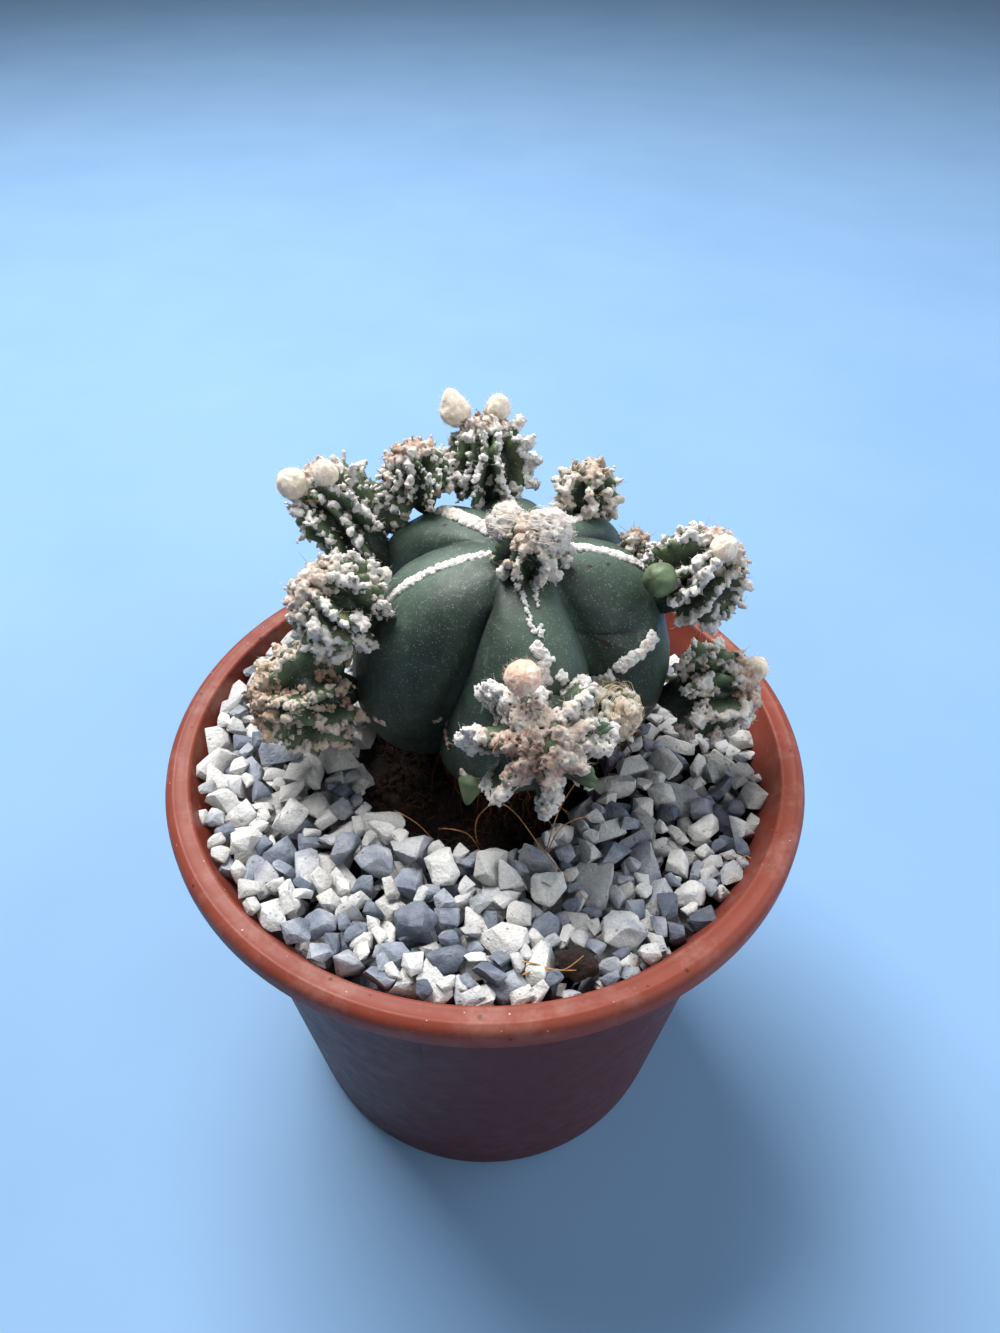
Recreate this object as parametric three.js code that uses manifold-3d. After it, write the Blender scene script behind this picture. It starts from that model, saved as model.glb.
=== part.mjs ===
// Potted many-headed bishop's cap cactus in a round nursery pot, topped with limestone chips.
// Millimetres, +Z up. The origin is the centre of the pot's base, on the surface it stands on,
// and -Y is the side with the largest offset.
import * as THREE from 'three';
import { mergeVertices } from 'three/addons/utils/BufferGeometryUtils.js';
import { ConvexGeometry } from 'three/addons/geometries/ConvexGeometry.js';
import Module from 'manifold-3d';

const wasm = await Module();
wasm.setup();

// Pot
const POT_HEIGHT = 67;
const RIM_RADIUS = 42.5;
const RIM_INNER_RADIUS = 39.1;
const LIP_DROP = 3.6;
const SHOULDER_DROP = 2.4;
const LIP_ROUND = 1.3;
const WALL_TOP_RADIUS = 37.9;
const BASE_RADIUS = 30.3;
const WALL = 1.1;
const FLOOR_THICKNESS = 1.6;
const FOOT_HEIGHT = 1.4;
const FOOT_WIDTH = 2.6;
const DRAIN_RADIUS = 3;
const DRAIN_RING_RADIUS = 19;
const DRAIN_COUNT = 6;
const PAD_WIDTH = 14.2;
const PAD_TOP = 53.6;
const PAD_HEIGHT = 9;
const PAD_PROUD = 0.45;
const POT_SEGMENTS = 48;

// Fillings, and the hollow in them that the plant's base stands in
const GAP = 0.35;
const MIX_TOP = 52.5;
const HOLLOW_FLOOR = 57.4;
const HOLLOW_RADIUS = 15.5;
const HOLLOW_CENTRE = new THREE.Vector2(-1, 1);
const CHIP_LEVEL = 65.3;
const CHIP_ROUGHNESS = 0.7;
const BED_DROP_RIGHT = 3.2;
const BED_DROP_BACK = 1.6;
const FILL_SEGMENTS = 36;

// Stem: its axis leans from the base centre to the top centre
const STEM_FOOT = new THREE.Vector3(1.5, 5.5, 61);
const STEM_TOP = new THREE.Vector3(4.6, 5.6, 93);
const RIB_DEPTH = 0.36;
const CLOSE_RIB_DEPTH = 0.45;
const DEPTH_BY_SPREAD = 0.375;
const RIB_BULGE = 0.055;
const FULL_BULGE_WIDTH = 0.6;
const CROWN_RADIUS = 14.8;
const STEM_SEGMENTS = 54;
const STEM_STACKS = 16;

// Ribs in order round the stem, in degrees from +X: each crest, how far it reaches from the
// axis in millimetres, and the furrow that follows it
const RIBS = [
  { crest: 5, reach: 20.8, furrow: 32 },
  { crest: 52, reach: 23, furrow: 76 },
  { crest: 98, reach: 23.5, furrow: 113 },
  { crest: 136, reach: 25.5, furrow: 160 },
  { crest: 184, reach: 20.5, furrow: 238 },
  { crest: 280, reach: 18.8, furrow: 318 },
];

// Stem outline from the crown down to the root: share of the ribs' reach, height
const STEM_OUTLINE = new THREE.SplineCurve([
  [0, 92.4], [0.24, 93.8], [0.45, 93.6], [0.66, 91.4], [0.84, 87.2], [0.95, 81.6],
  [1, 76], [0.95, 70.8], [0.78, 66.4], [0.54, 63.4], [0.4, 59.4], [0, 59],
].map(([share, height]) => new THREE.Vector2(share, height)));

// Offsets that grow out of the stem: centre, size, the way each one faces, its ridges and how
// flat it is along its axis
const OFFSETS = [
  { name: 'crown_head', at: [5.1, 2.5, 96.7], size: 5,
    faces: [0, -0.25, 1], ridges: 8, flat: 1 },
  { name: 'offset_front', at: [7.1, -15, 82.6], size: 9.8,
    faces: [0, -0.74, 0.68], ridges: 8, flat: 0.55 },
  { name: 'offset_front_right', at: [15.8, -8.5, 80.7], size: 3.7,
    faces: [0.6, -0.6, 0.5], ridges: 6, flat: 1 },
  { name: 'offset_left_upper', at: [-17.9, 1.5, 88.3], size: 6.8,
    faces: [-0.72, -0.15, 0.68], ridges: 9, flat: 0.95 },
  { name: 'offset_left_lower', at: [-23, -1.5, 75.9], size: 7.5,
    faces: [-0.92, -0.35, 0.15], ridges: 8, flat: 0.95 },
  { name: 'offset_back_left_outer', at: [-20.6, 19, 90.4], size: 6.3,
    faces: [-0.7, 0.4, 0.6], ridges: 8, flat: 1 },
  { name: 'offset_back_left_middle', at: [-9.5, 20, 94.9], size: 5.4,
    faces: [-0.25, 0.3, 0.92], ridges: 9, flat: 0.9 },
  { name: 'offset_back_left_inner', at: [-0.3, 25, 94.1], size: 6.5,
    faces: [0, 0.4, 0.9], ridges: 9, flat: 1 },
  { name: 'offset_back_right', at: [12.5, 17, 94.9], size: 4.3,
    faces: [0.1, 0.15, 0.98], ridges: 7, flat: 1 },
  { name: 'offset_right_back', at: [18.8, 12, 90.3], size: 2,
    faces: [0.5, 0.4, 0.8], ridges: 6, flat: 1 },
  { name: 'offset_right_upper', at: [25.3, 4.5, 90.9], size: 6.5,
    faces: [0.75, 0.05, 0.66], ridges: 9, flat: 1 },
  { name: 'offset_right_lower', at: [28.8, 0.5, 75.4], size: 6.9,
    faces: [0.95, -0.1, 0.3], ridges: 8, flat: 0.95 },
  { name: 'offset_right_young', at: [20.4, 0.4, 93.9], size: 2.3,
    faces: [-0.5, -0.6, 0.6], ridges: 5, flat: 1 },
  { name: 'offset_front_young', at: [-1.6, -12, 71.4], size: 1.7,
    faces: [-0.2, -0.6, -0.75], ridges: 5, flat: 1.7 },
];
const RIDGE_DEPTH = 0.13;
const TIER_DEPTH = 0.04;
const TIERS = 5;
const FOOT_STRETCH = 1.3;
const HEAD_STACKS = 7;
const RIDGE_STEPS = 3;

// Flower buds: centre, radius, length over width, and the way each one points
const BUDS = [
  { name: 'bud_front', at: [4.2, -14.2, 91.6], radius: 2.6, slim: 1,
    faces: [0, -0.7, 0.7] },
  { name: 'bud_back_left_outer_a', at: [-25.4, 17.5, 95.4], radius: 2.2, slim: 1.1,
    faces: [-0.7, -0.1, 0.7] },
  { name: 'bud_back_left_outer_b', at: [-20.9, 17.2, 97.2], radius: 2, slim: 1.1,
    faces: [-0.2, -0.1, 1] },
  { name: 'bud_back_left_inner_a', at: [-4.7, 27, 100.9], radius: 2.5, slim: 1.35,
    faces: [-0.1, 0.2, 1] },
  { name: 'bud_back_left_inner_b', at: [1, 27.5, 101.1], radius: 2, slim: 1.15,
    faces: [0.1, 0.2, 1] },
  { name: 'bud_right_upper', at: [27.9, 3.1, 96.6], radius: 1.9, slim: 1.1,
    faces: [0.4, -0.1, 0.9] },
  { name: 'bud_right_lower', at: [34.6, 1.2, 79.2], radius: 1.8, slim: 1,
    faces: [0.8, -0.2, 0.6] },
];

// The largest limestone chips, as a plan position, width, depth and height, and a turn in degrees
const CHIPS = [
  [-31.2, -17.9, 5.4, 4.6, 3.8, 20], [-24.6, -13.4, 6.3, 5.4, 3.8, 70], [-24, -26.7, 3, 5.6, 3.2, 15],
  [-13.1, -19.8, 6, 5, 3.8, -20], [-19.1, -29.3, 5, 5.4, 3.6, 40], [-5.2, -20, 4.9, 7.2, 3.4, 10],
  [-7.7, -28.2, 5.8, 5.8, 4.2, 30], [-10.4, -34.2, 6.1, 3.1, 3, -10], [-4, -34.6, 6.8, 4, 3.4, 15],
  [7.6, -23.4, 5.4, 6.4, 3.6, 0], [16.3, -28.6, 6.3, 6.4, 4, -25], [26.6, -23.4, 6.1, 4.2, 3.6, 20],
  [28.4, -12.2, 6.2, 4.2, 3.6, 35], [24.2, -17.8, 4, 4.6, 3.4, 0],
];
const CHIP_CORNERS = 11;
const CHIP_SINK = 0.35;
const CHIP_REACH = 36.9;
const PEAT_LUMP = { at: [10.8, -33.2], width: 5.2, depth: 4, height: 3.6 };

// Root below the stem: distance from the root's own axis, height
const ROOT_OUTLINE = [
  [0, 58.6], [7.4, 58.6], [7, 55], [5, 48], [3.2, 40], [1.8, 32], [0.8, 25], [0, 24],
];

const FINISHES = {
  pot: { color: 0xa4523c, roughness: 0.42, metalness: 0 },
  mix: { color: 0x2a1a14, roughness: 1, metalness: 0 },
  root: { color: 0x5a3a22, roughness: 0.95, metalness: 0 },
  chips: { color: 0xc4bfb2, roughness: 0.9, metalness: 0 },
  skin: { color: 0x3f5a4c, roughness: 0.5, metalness: 0 },
  wool: { color: 0xd8cab8, roughness: 1, metalness: 0 },
  bud: { color: 0xe8c8ae, roughness: 1, metalness: 0 },
};

const part = new THREE.Group();
part.name = 'potted_cactus';

const degrees = THREE.MathUtils.degToRad;
const smooth = (low, high, value) => THREE.MathUtils.smoothstep(value, low, high);
const mix = THREE.MathUtils.lerp;

// Repeatable random numbers, so that every build gives the same chips
function randomFrom(seed) {
  let state = seed;
  return () => {
    state = (state * 1664525 + 1013904223) % 4294967296;
    return state / 4294967296;
  };
}

// Turns a geometry's faces outwards if its signed volume is negative
function facingOut(geometry) {
  const corners = geometry.attributes.position;
  const order = geometry.index.array;
  const [a, b, c] = [new THREE.Vector3(), new THREE.Vector3(), new THREE.Vector3()];
  let volume = 0;
  for (let i = 0; i < order.length; i += 3) {
    a.fromBufferAttribute(corners, order[i]);
    b.fromBufferAttribute(corners, order[i + 1]);
    c.fromBufferAttribute(corners, order[i + 2]);
    volume += a.dot(b.cross(c));
  }
  if (volume < 0) {
    for (let i = 0; i < order.length; i += 3) {
      [order[i], order[i + 1]] = [order[i + 1], order[i]];
    }
  }
  return geometry;
}

// One closed skin: shared corners merged, faces out, smooth normals
function closed(geometry) {
  const bare = geometry.clone();
  bare.deleteAttribute('normal');
  bare.deleteAttribute('uv');
  const skin = facingOut(mergeVertices(bare, 1e-3));
  skin.computeVertexNormals();
  return skin;
}

// The same skin pushed out along its normals, to keep a gap to what is cut by it
function grown(geometry, by = GAP) {
  const wider = closed(geometry);
  const corners = wider.attributes.position;
  const normals = wider.attributes.normal;
  for (let i = 0; i < corners.count; i += 1) {
    corners.setXYZ(
      i,
      corners.getX(i) + normals.getX(i) * by,
      corners.getY(i) + normals.getY(i) * by,
      corners.getZ(i) + normals.getZ(i) * by,
    );
  }
  return wider;
}

function toSolid(geometry) {
  const skin = closed(geometry);
  return new wasm.Manifold(new wasm.Mesh({
    numProp: 3,
    vertProperties: new Float32Array(skin.attributes.position.array),
    triVerts: new Uint32Array(skin.index.array),
  }));
}

function toGeometry(solid) {
  const mesh = solid.getMesh();
  const geometry = new THREE.BufferGeometry();
  geometry.setAttribute('position', new THREE.BufferAttribute(mesh.vertProperties, 3));
  geometry.setIndex(new THREE.BufferAttribute(mesh.triVerts, 1));
  geometry.computeVertexNormals();
  return geometry;
}

// Cuts the neighbours, each with its gap, out of a solid and keeps the largest piece left
function clearOf(geometry, neighbours) {
  let solid = toSolid(geometry);
  for (const neighbour of neighbours) {
    solid = solid.subtract(toSolid(grown(neighbour)));
  }
  const pieces = solid.decompose().sort((one, other) => other.volume() - one.volume());
  return toGeometry(pieces[0]);
}

// Adds a mesh whose geometry is given in the part's frame, and stores it round its own place
function add(name, geometry, finish, place = new THREE.Matrix4()) {
  const own = geometry.clone().applyMatrix4(place.clone().invert());
  const mesh = new THREE.Mesh(own, new THREE.MeshStandardMaterial(FINISHES[finish]));
  mesh.name = name;
  place.decompose(mesh.position, mesh.quaternion, mesh.scale);
  part.add(mesh);
  return geometry;
}

// A turned solid about +Z from an outline of [radius, height]
function turned(outline, segments) {
  const points = outline.map(([radius, height]) => new THREE.Vector2(radius, height));
  return new THREE.LatheGeometry(points, segments).rotateX(Math.PI / 2);
}

// Moves every corner of a geometry by a rule
function reshaped(geometry, rule) {
  const corners = geometry.attributes.position;
  const corner = new THREE.Vector3();
  for (let i = 0; i < corners.count; i += 1) {
    corner.fromBufferAttribute(corners, i);
    rule(corner);
    corners.setXYZ(i, corner.x, corner.y, corner.z);
  }
  return geometry;
}

// Where +Z of a piece ends up, at its centre
function placeFacing(at, faces) {
  const turn = new THREE.Quaternion().setFromUnitVectors(
    new THREE.Vector3(0, 0, 1),
    new THREE.Vector3(...faces).normalize(),
  );
  return new THREE.Matrix4().compose(new THREE.Vector3(...at), turn, new THREE.Vector3(1, 1, 1));
}

const LIP_BOTTOM = POT_HEIGHT - LIP_DROP;
const FLOOR_TOP = FOOT_HEIGHT + FLOOR_THICKNESS;
const SHOULDER = LIP_BOTTOM - SHOULDER_DROP;
const wallRadius = (height) => mix(BASE_RADIUS, WALL_TOP_RADIUS, height / LIP_BOTTOM);

// Inside of the pot's wall, a straight taper from the floor to the shoulder under the rim
function insideRadius(height) {
  const share = (height - FLOOR_TOP) / (SHOULDER - FLOOR_TOP);
  return mix(BASE_RADIUS, wallRadius(SHOULDER), share) - WALL;
}

// Pot: a rolled lip on a tapering wall, a foot ring and a floor with drain holes
function potGeometry() {
  const roundSteps = 4;
  const lipRound = [];
  for (let step = 0; step <= roundSteps; step += 1) {
    const turn = (step / roundSteps) * (Math.PI / 2);
    lipRound.push([
      RIM_RADIUS - LIP_ROUND + LIP_ROUND * Math.cos(turn),
      POT_HEIGHT - LIP_ROUND + LIP_ROUND * Math.sin(turn),
    ]);
  }
  const outline = [
    [0, FOOT_HEIGHT],
    [BASE_RADIUS - FOOT_WIDTH - 0.5, FOOT_HEIGHT],
    [BASE_RADIUS - FOOT_WIDTH, 0],
    [BASE_RADIUS - 0.6, 0],
    [BASE_RADIUS, 0.7],
    [wallRadius(LIP_BOTTOM), LIP_BOTTOM],
    [RIM_RADIUS - 0.7, LIP_BOTTOM],
    [RIM_RADIUS - 0.2, LIP_BOTTOM + 0.6],
    ...lipRound,
    [RIM_INNER_RADIUS + 0.3, POT_HEIGHT],
    [RIM_INNER_RADIUS, POT_HEIGHT - 0.4],
    [insideRadius(SHOULDER), SHOULDER],
    [insideRadius(FLOOR_TOP), FLOOR_TOP],
    [0, FLOOR_TOP],
  ];
  let pot = toSolid(turned(outline, POT_SEGMENTS));
  for (let hole = 0; hole <= DRAIN_COUNT; hole += 1) {
    const turn = degrees((360 / DRAIN_COUNT) * hole);
    const reach = hole === DRAIN_COUNT ? 0 : DRAIN_RING_RADIUS;
    const drill = new THREE.CylinderGeometry(DRAIN_RADIUS, DRAIN_RADIUS, 8, 16)
      .rotateX(Math.PI / 2)
      .translate(reach * Math.cos(turn), reach * Math.sin(turn), FOOT_HEIGHT);
    pot = pot.subtract(toSolid(drill));
  }
  const padMiddle = PAD_TOP - PAD_HEIGHT / 2;
  const pad = new THREE.BoxGeometry(PAD_WIDTH, WALL, PAD_HEIGHT, 6, 1, 1);
  reshaped(pad, (corner) => {
    const height = padMiddle + corner.z;
    const outside = Math.sqrt(wallRadius(height) ** 2 - corner.x ** 2);
    corner.set(corner.x, -(corner.y < 0 ? outside + PAD_PROUD : outside - WALL / 2), height);
  });
  return toGeometry(pot.add(toSolid(pad)));
}

// Blends a fill's corner from the pot's axis, at the wall, to the hollow's axis
function towardsHollow(corner, wall) {
  const radius = Math.hypot(corner.x, corner.y);
  const share = THREE.MathUtils.clamp((wall - radius) / (wall - HOLLOW_RADIUS), 0, 1);
  corner.x += HOLLOW_CENTRE.x * share;
  corner.y += HOLLOW_CENTRE.y * share;
}

// Potting mix: fills the pot and rises into the hollow in the chips
function mixGeometry() {
  const bottom = FLOOR_TOP + GAP;
  const mound = HOLLOW_RADIUS - 2;
  const outline = [
    [0, bottom],
    [insideRadius(bottom) - GAP, bottom],
    [insideRadius(MIX_TOP) - GAP, MIX_TOP],
    [mound, MIX_TOP],
    [mound, HOLLOW_FLOOR - 1.5],
    [mound - 1.5, HOLLOW_FLOOR],
    [0, HOLLOW_FLOOR],
  ];
  const wall = insideRadius(MIX_TOP) - GAP;
  return reshaped(turned(outline, FILL_SEGMENTS), (corner) => {
    const level = smooth(MIX_TOP - 20, MIX_TOP, corner.z);
    const kept = corner.clone();
    towardsHollow(corner, wall);
    corner.lerpVectors(kept, corner, level);
  });
}

// Height of the chips' bed: near the rim at the front and left, lower to the right and back
function bedHeight(x, y) {
  const right = smooth(5, 36, x);
  const back = smooth(-5, 34, y);
  const ripple = Math.sin(x * 0.9 + 1) * Math.cos(y * 1.1) + Math.sin(x * 0.5 - y * 0.7);
  return CHIP_LEVEL - BED_DROP_RIGHT * right - BED_DROP_BACK * back + CHIP_ROUGHNESS * 0.5 * ripple;
}

// Bed of chips: a ring from the wall to the hollow
function bedGeometry() {
  const bottom = MIX_TOP + GAP;
  const steps = 5;
  const outer = insideRadius(bottom) - GAP;
  const outline = [
    [HOLLOW_RADIUS - 1.5, bottom],
    [outer, bottom],
    [outer + 0.3, bottom + 4],
  ];
  for (let step = 0; step <= steps; step += 1) {
    const share = step / steps;
    outline.push([mix(outer + 0.6, HOLLOW_RADIUS + 1.5, share), CHIP_LEVEL]);
  }
  outline.push([HOLLOW_RADIUS - 1.2, HOLLOW_FLOOR + 2.5]);
  outline.push([HOLLOW_RADIUS - 1.5, bottom]);
  return reshaped(turned(outline, FILL_SEGMENTS), (corner) => {
    towardsHollow(corner, outer);
    if (corner.z > CHIP_LEVEL - 0.1) {
      corner.z = bedHeight(corner.x, corner.y);
    }
  });
}

// One angular chip: the hull of a few corners thrown on a squashed ball
function chipGeometry(width, depth, height, turn, random) {
  const corners = [];
  for (let i = 0; i < CHIP_CORNERS; i += 1) {
    const up = 2 * ((i + random()) / CHIP_CORNERS) - 1;
    const round = 2.4 * i + random();
    const flat = Math.sqrt(1 - up * up);
    corners.push(new THREE.Vector3(
      flat * Math.cos(round) * (width / 2) * mix(0.88, 1.05, random()),
      flat * Math.sin(round) * (depth / 2) * mix(0.88, 1.05, random()),
      up * (height / 2),
    ));
  }
  return new ConvexGeometry(corners).rotateZ(degrees(turn));
}

// How far the stem reaches at an angle and a share of its outline. Ribs that stand close
// together are shallower, and the round crown grows into the ribs in the first third.
function ribReach(angle, share) {
  const ribs = RIBS.length;
  const index = RIBS.findLastIndex((rib) => rib.crest <= angle);
  const rib = RIBS[(index + ribs) % ribs];
  const next = RIBS[(index + 1 + ribs) % ribs];
  const turn = angle < rib.crest ? angle + 360 : angle;
  const nextCrest = next.crest <= rib.crest ? next.crest + 360 : next.crest;
  const furrow = rib.furrow < rib.crest ? rib.furrow + 360 : rib.furrow;
  const before = turn <= furrow;
  const width = before ? furrow - rib.crest : nextCrest - furrow;
  const along = before ? (turn - rib.crest) / width : (nextCrest - turn) / width;
  const reach = before ? rib.reach : next.reach;
  const spread = degrees(nextCrest - rib.crest);
  const depth = RIB_DEPTH * Math.min(1, CLOSE_RIB_DEPTH + spread * DEPTH_BY_SPREAD);
  const low = ((rib.reach + next.reach) / 2) * (1 - depth);
  const bulge = RIB_BULGE * Math.min(1, degrees(width) / FULL_BULGE_WIDTH);
  const ribbed = mix(reach, low, along) + reach * bulge * Math.sin(Math.PI * along);
  const full = smooth(0.02, 0.3, share) * (1 - 0.45 * smooth(0.72, 1, share));
  return mix(CROWN_RADIUS, ribbed, full);
}

function stemPoint(angle, share) {
  const outline = STEM_OUTLINE.getPoint(share);
  const reach = ribReach(angle, share) * outline.x;
  const rise = (outline.y - STEM_FOOT.z) / (STEM_TOP.z - STEM_FOOT.z);
  const axis = new THREE.Vector3().lerpVectors(STEM_FOOT, STEM_TOP, rise);
  return new THREE.Vector3(
    axis.x + reach * Math.cos(degrees(angle)),
    axis.y + reach * Math.sin(degrees(angle)),
    outline.y,
  );
}

function stemGeometry() {
  const ball = new THREE.SphereGeometry(1, STEM_SEGMENTS, STEM_STACKS).rotateX(Math.PI / 2);
  return reshaped(ball, (corner) => {
    const angle = THREE.MathUtils.euclideanModulo(
      THREE.MathUtils.radToDeg(Math.atan2(corner.y, corner.x)),
      359.9999,
    );
    const share = Math.acos(THREE.MathUtils.clamp(corner.z, -1, 1)) / Math.PI;
    corner.copy(stemPoint(angle, share));
  });
}

// One head: ridges round its axis, warty tiers across them, and a foot that reaches the stem
function headGeometry({ size, ridges, flat }) {
  const ball = new THREE.SphereGeometry(1, ridges * RIDGE_STEPS, HEAD_STACKS).rotateX(Math.PI / 2);
  return reshaped(ball, (corner) => {
    const angle = Math.atan2(corner.y, corner.x);
    const tilt = Math.acos(THREE.MathUtils.clamp(corner.z, -1, 1));
    const ridge = RIDGE_DEPTH * Math.cos(ridges * angle) * Math.sin(tilt);
    const reach = size * (1 + ridge + TIER_DEPTH * Math.cos(TIERS * tilt));
    const along = corner.z < 0 ? FOOT_STRETCH * flat : flat;
    corner.set(corner.x * reach, corner.y * reach, corner.z * reach * along);
  });
}

function budGeometry({ radius, slim }) {
  const ball = new THREE.SphereGeometry(radius, 12, 8).rotateX(Math.PI / 2);
  return reshaped(ball, (corner) => {
    const tip = corner.z > 0 ? slim : 1;
    corner.z *= tip;
  });
}

add('pot', potGeometry(), 'pot');

const stem = closed(stemGeometry());
add('stem', stem, 'skin');

const root = turned(ROOT_OUTLINE, 18).translate(STEM_FOOT.x, STEM_FOOT.y, 0);
const rootCrown = clearOf(root, [stem]);
add('root_crown', rootCrown, 'root');
add('potting_mix', clearOf(mixGeometry(), [root]), 'mix');

// Heads, each cut back where it meets the stem or a head before it
const heads = [];
for (const offset of OFFSETS) {
  const place = placeFacing(offset.at, offset.faces);
  const ball = headGeometry(offset).applyMatrix4(place);
  const head = clearOf(ball, [stem, ...heads]);
  heads.push(head);
  add(offset.name, head, 'wool', place);
}

for (const bud of BUDS) {
  const place = placeFacing(bud.at, bud.faces);
  const ball = budGeometry(bud).applyMatrix4(place);
  add(bud.name, clearOf(ball, heads), 'bud', place);
}

// Large chips bedded in the top dressing, then the bed with a pocket for each of them
const random = randomFrom(7);
const bedded = [];
CHIPS.forEach(([planX, planY, width, depth, height, turn], index) => {
  const pull = Math.min(1, (CHIP_REACH - Math.max(width, depth) / 2) / Math.hypot(planX, planY));
  const [x, y] = [planX * pull, planY * pull];
  const level = bedHeight(x, y) + height / 2 - height * CHIP_SINK;
  const place = new THREE.Matrix4().makeTranslation(x, y, level);
  const block = chipGeometry(width, depth, height, turn, random).applyMatrix4(place);
  const chip = clearOf(closed(block), bedded);
  bedded.push(chip);
  add(`stone_${String(index + 1).padStart(2, '0')}`, chip, 'chips', place);
});

const [lumpX, lumpY] = PEAT_LUMP.at;
const lumpPlace = new THREE.Matrix4().makeTranslation(lumpX, lumpY, bedHeight(lumpX, lumpY) + 0.4);
const lumpBall = new THREE.IcosahedronGeometry(1, 1)
  .scale(PEAT_LUMP.width / 2, PEAT_LUMP.depth / 2, PEAT_LUMP.height / 2)
  .applyMatrix4(lumpPlace);
const lump = clearOf(closed(lumpBall), bedded);
add('peat_lump', lump, 'mix', lumpPlace);
bedded.push(lump);

add('gravel_layer', clearOf(bedGeometry(), [stem, ...bedded]), 'chips');

export default part;
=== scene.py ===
"""Looks of a potted many-headed bishop's cap cactus in a round nursery pot with limestone chips.

Shapes are worked out in millimetres in the part's own frame: the origin is the centre of the pot's
base, +Z is up and -Y is the side with the largest offset. They become metres where a mesh is stored.
"""

import bmesh
import bpy
import numpy as np
from mathutils import Matrix, Vector


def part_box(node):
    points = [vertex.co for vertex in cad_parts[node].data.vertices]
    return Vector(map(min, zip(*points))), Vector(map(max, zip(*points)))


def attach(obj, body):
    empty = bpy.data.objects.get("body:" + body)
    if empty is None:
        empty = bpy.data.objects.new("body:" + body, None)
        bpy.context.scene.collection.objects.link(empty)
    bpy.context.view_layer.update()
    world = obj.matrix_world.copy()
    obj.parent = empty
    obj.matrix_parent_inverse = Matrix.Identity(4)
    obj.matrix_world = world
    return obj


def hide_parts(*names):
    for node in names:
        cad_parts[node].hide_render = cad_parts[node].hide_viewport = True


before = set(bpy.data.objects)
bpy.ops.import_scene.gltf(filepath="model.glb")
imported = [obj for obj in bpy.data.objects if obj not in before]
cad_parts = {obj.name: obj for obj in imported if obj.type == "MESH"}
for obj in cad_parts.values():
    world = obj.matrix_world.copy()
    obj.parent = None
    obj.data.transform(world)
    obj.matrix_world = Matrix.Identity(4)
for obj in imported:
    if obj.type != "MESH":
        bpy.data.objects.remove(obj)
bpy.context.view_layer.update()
MM = 0.001

# Pot
POT_HEIGHT = 67
RIM_RADIUS = 42.5
RIM_INNER_RADIUS = 39.1
LIP_DROP = 3.6
LIP_ROUND = 1.5
WALL_TOP_RADIUS = 37.9
BASE_RADIUS = 30.3
RIM_INNER_TOP = 66.6
WALL = 1.1
FLOOR_TOP = 3
FOOT_HEIGHT = 1.4
FOOT_WIDTH = 2.6
DRAIN_RADIUS = 3
DRAIN_RING_RADIUS = 19
DRAIN_COUNT = 6
PAD_WIDTH = 14.2
PAD_TOP = 53.6
PAD_HEIGHT = 9
PAD_PROUD = 0.45
LIP_BOTTOM = POT_HEIGHT - LIP_DROP
SHOULDER_DROP = 2.4
SHOULDER = LIP_BOTTOM - SHOULDER_DROP
SHARP_ANGLE = np.radians(38)

# Fillings, and the hollow in them that the plant's base stands in
MIX_TOP = 57.4
HOLLOW_RADIUS = 15.5
HOLLOW_CENTRE = np.array([-1.0, 1.0])
CHIP_LEVEL = 65.3
BED_DROP_RIGHT = 3.2
BED_DROP_BACK = 1.6
WALL_GAP = 0.4

# Stem: its axis leans from the foot to the top
STEM_FOOT = np.array([1.5, 5.5, 61.0])
STEM_TOP = np.array([4.6, 5.6, 93.0])
CROWN_RADIUS = 14.8
RIB_DEPTH = 0.36
RIB_BULGE = 0.045
RIB_DROP = 3.2
CLOSE_RIB_DEPTH = 0.45
DEPTH_BY_SPREAD = 0.375
FULL_BULGE_WIDTH = 0.6
CREASE_DEPTH = 1.0
CREASE_WIDTH = 0.7
RIB_STEPS = 14
STEM_ROWS = 130

# Ribs in order round the stem, in degrees from +X: each crest, how far it reaches from the axis, and
# where the furrow after it runs at each share in FURROW_SHARES
FURROW_SHARES = (0.16, 0.27, 0.4, 0.55, 0.65)
RIBS = [
    {"crest": 6, "reach": 20.8, "furrow": (32, 32, 32, 32, 32)},
    {"crest": 52, "reach": 23, "furrow": (76, 76, 76, 76, 76)},
    {"crest": 98, "reach": 23.5, "furrow": (113, 113, 113, 113, 113)},
    {"crest": 136, "reach": 25.5, "furrow": (160, 160, 160, 160, 160)},
    {"crest": 189, "reach": 20.5, "furrow": (236, 243, 241, 233, 226)},
    {"crest": 279, "reach": 18.8, "furrow": (300, 304, 313, 315, 316)},
]

# Stem outline from the crown down to the root: share of the ribs' reach, height
STEM_OUTLINE = np.array([
    (0, 92.4), (0.24, 93.8), (0.45, 93.6), (0.66, 91.4), (0.84, 87.2), (0.95, 81.6),
    (1, 76), (0.95, 70.8), (0.78, 66.4), (0.54, 63.4), (0.4, 59.4), (0, 59),
])


def unit(vector):
    vector = np.asarray(vector, float)
    return vector / np.linalg.norm(vector, axis=-1, keepdims=True)


def smooth(low, high, value):
    share = np.clip((value - low) / (high - low), 0, 1)
    return share * share * (3 - 2 * share)


def between(first, second, share):
    return first + (second - first) * share


def hill(distance, width):
    """1 at no distance, falling off softly; width is where about a third is left."""
    return np.exp(-((distance / width) ** 2))


def full_turn(count):
    """Angles of a number of points that go once round."""
    return np.arange(count) * 2 * np.pi / count


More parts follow.
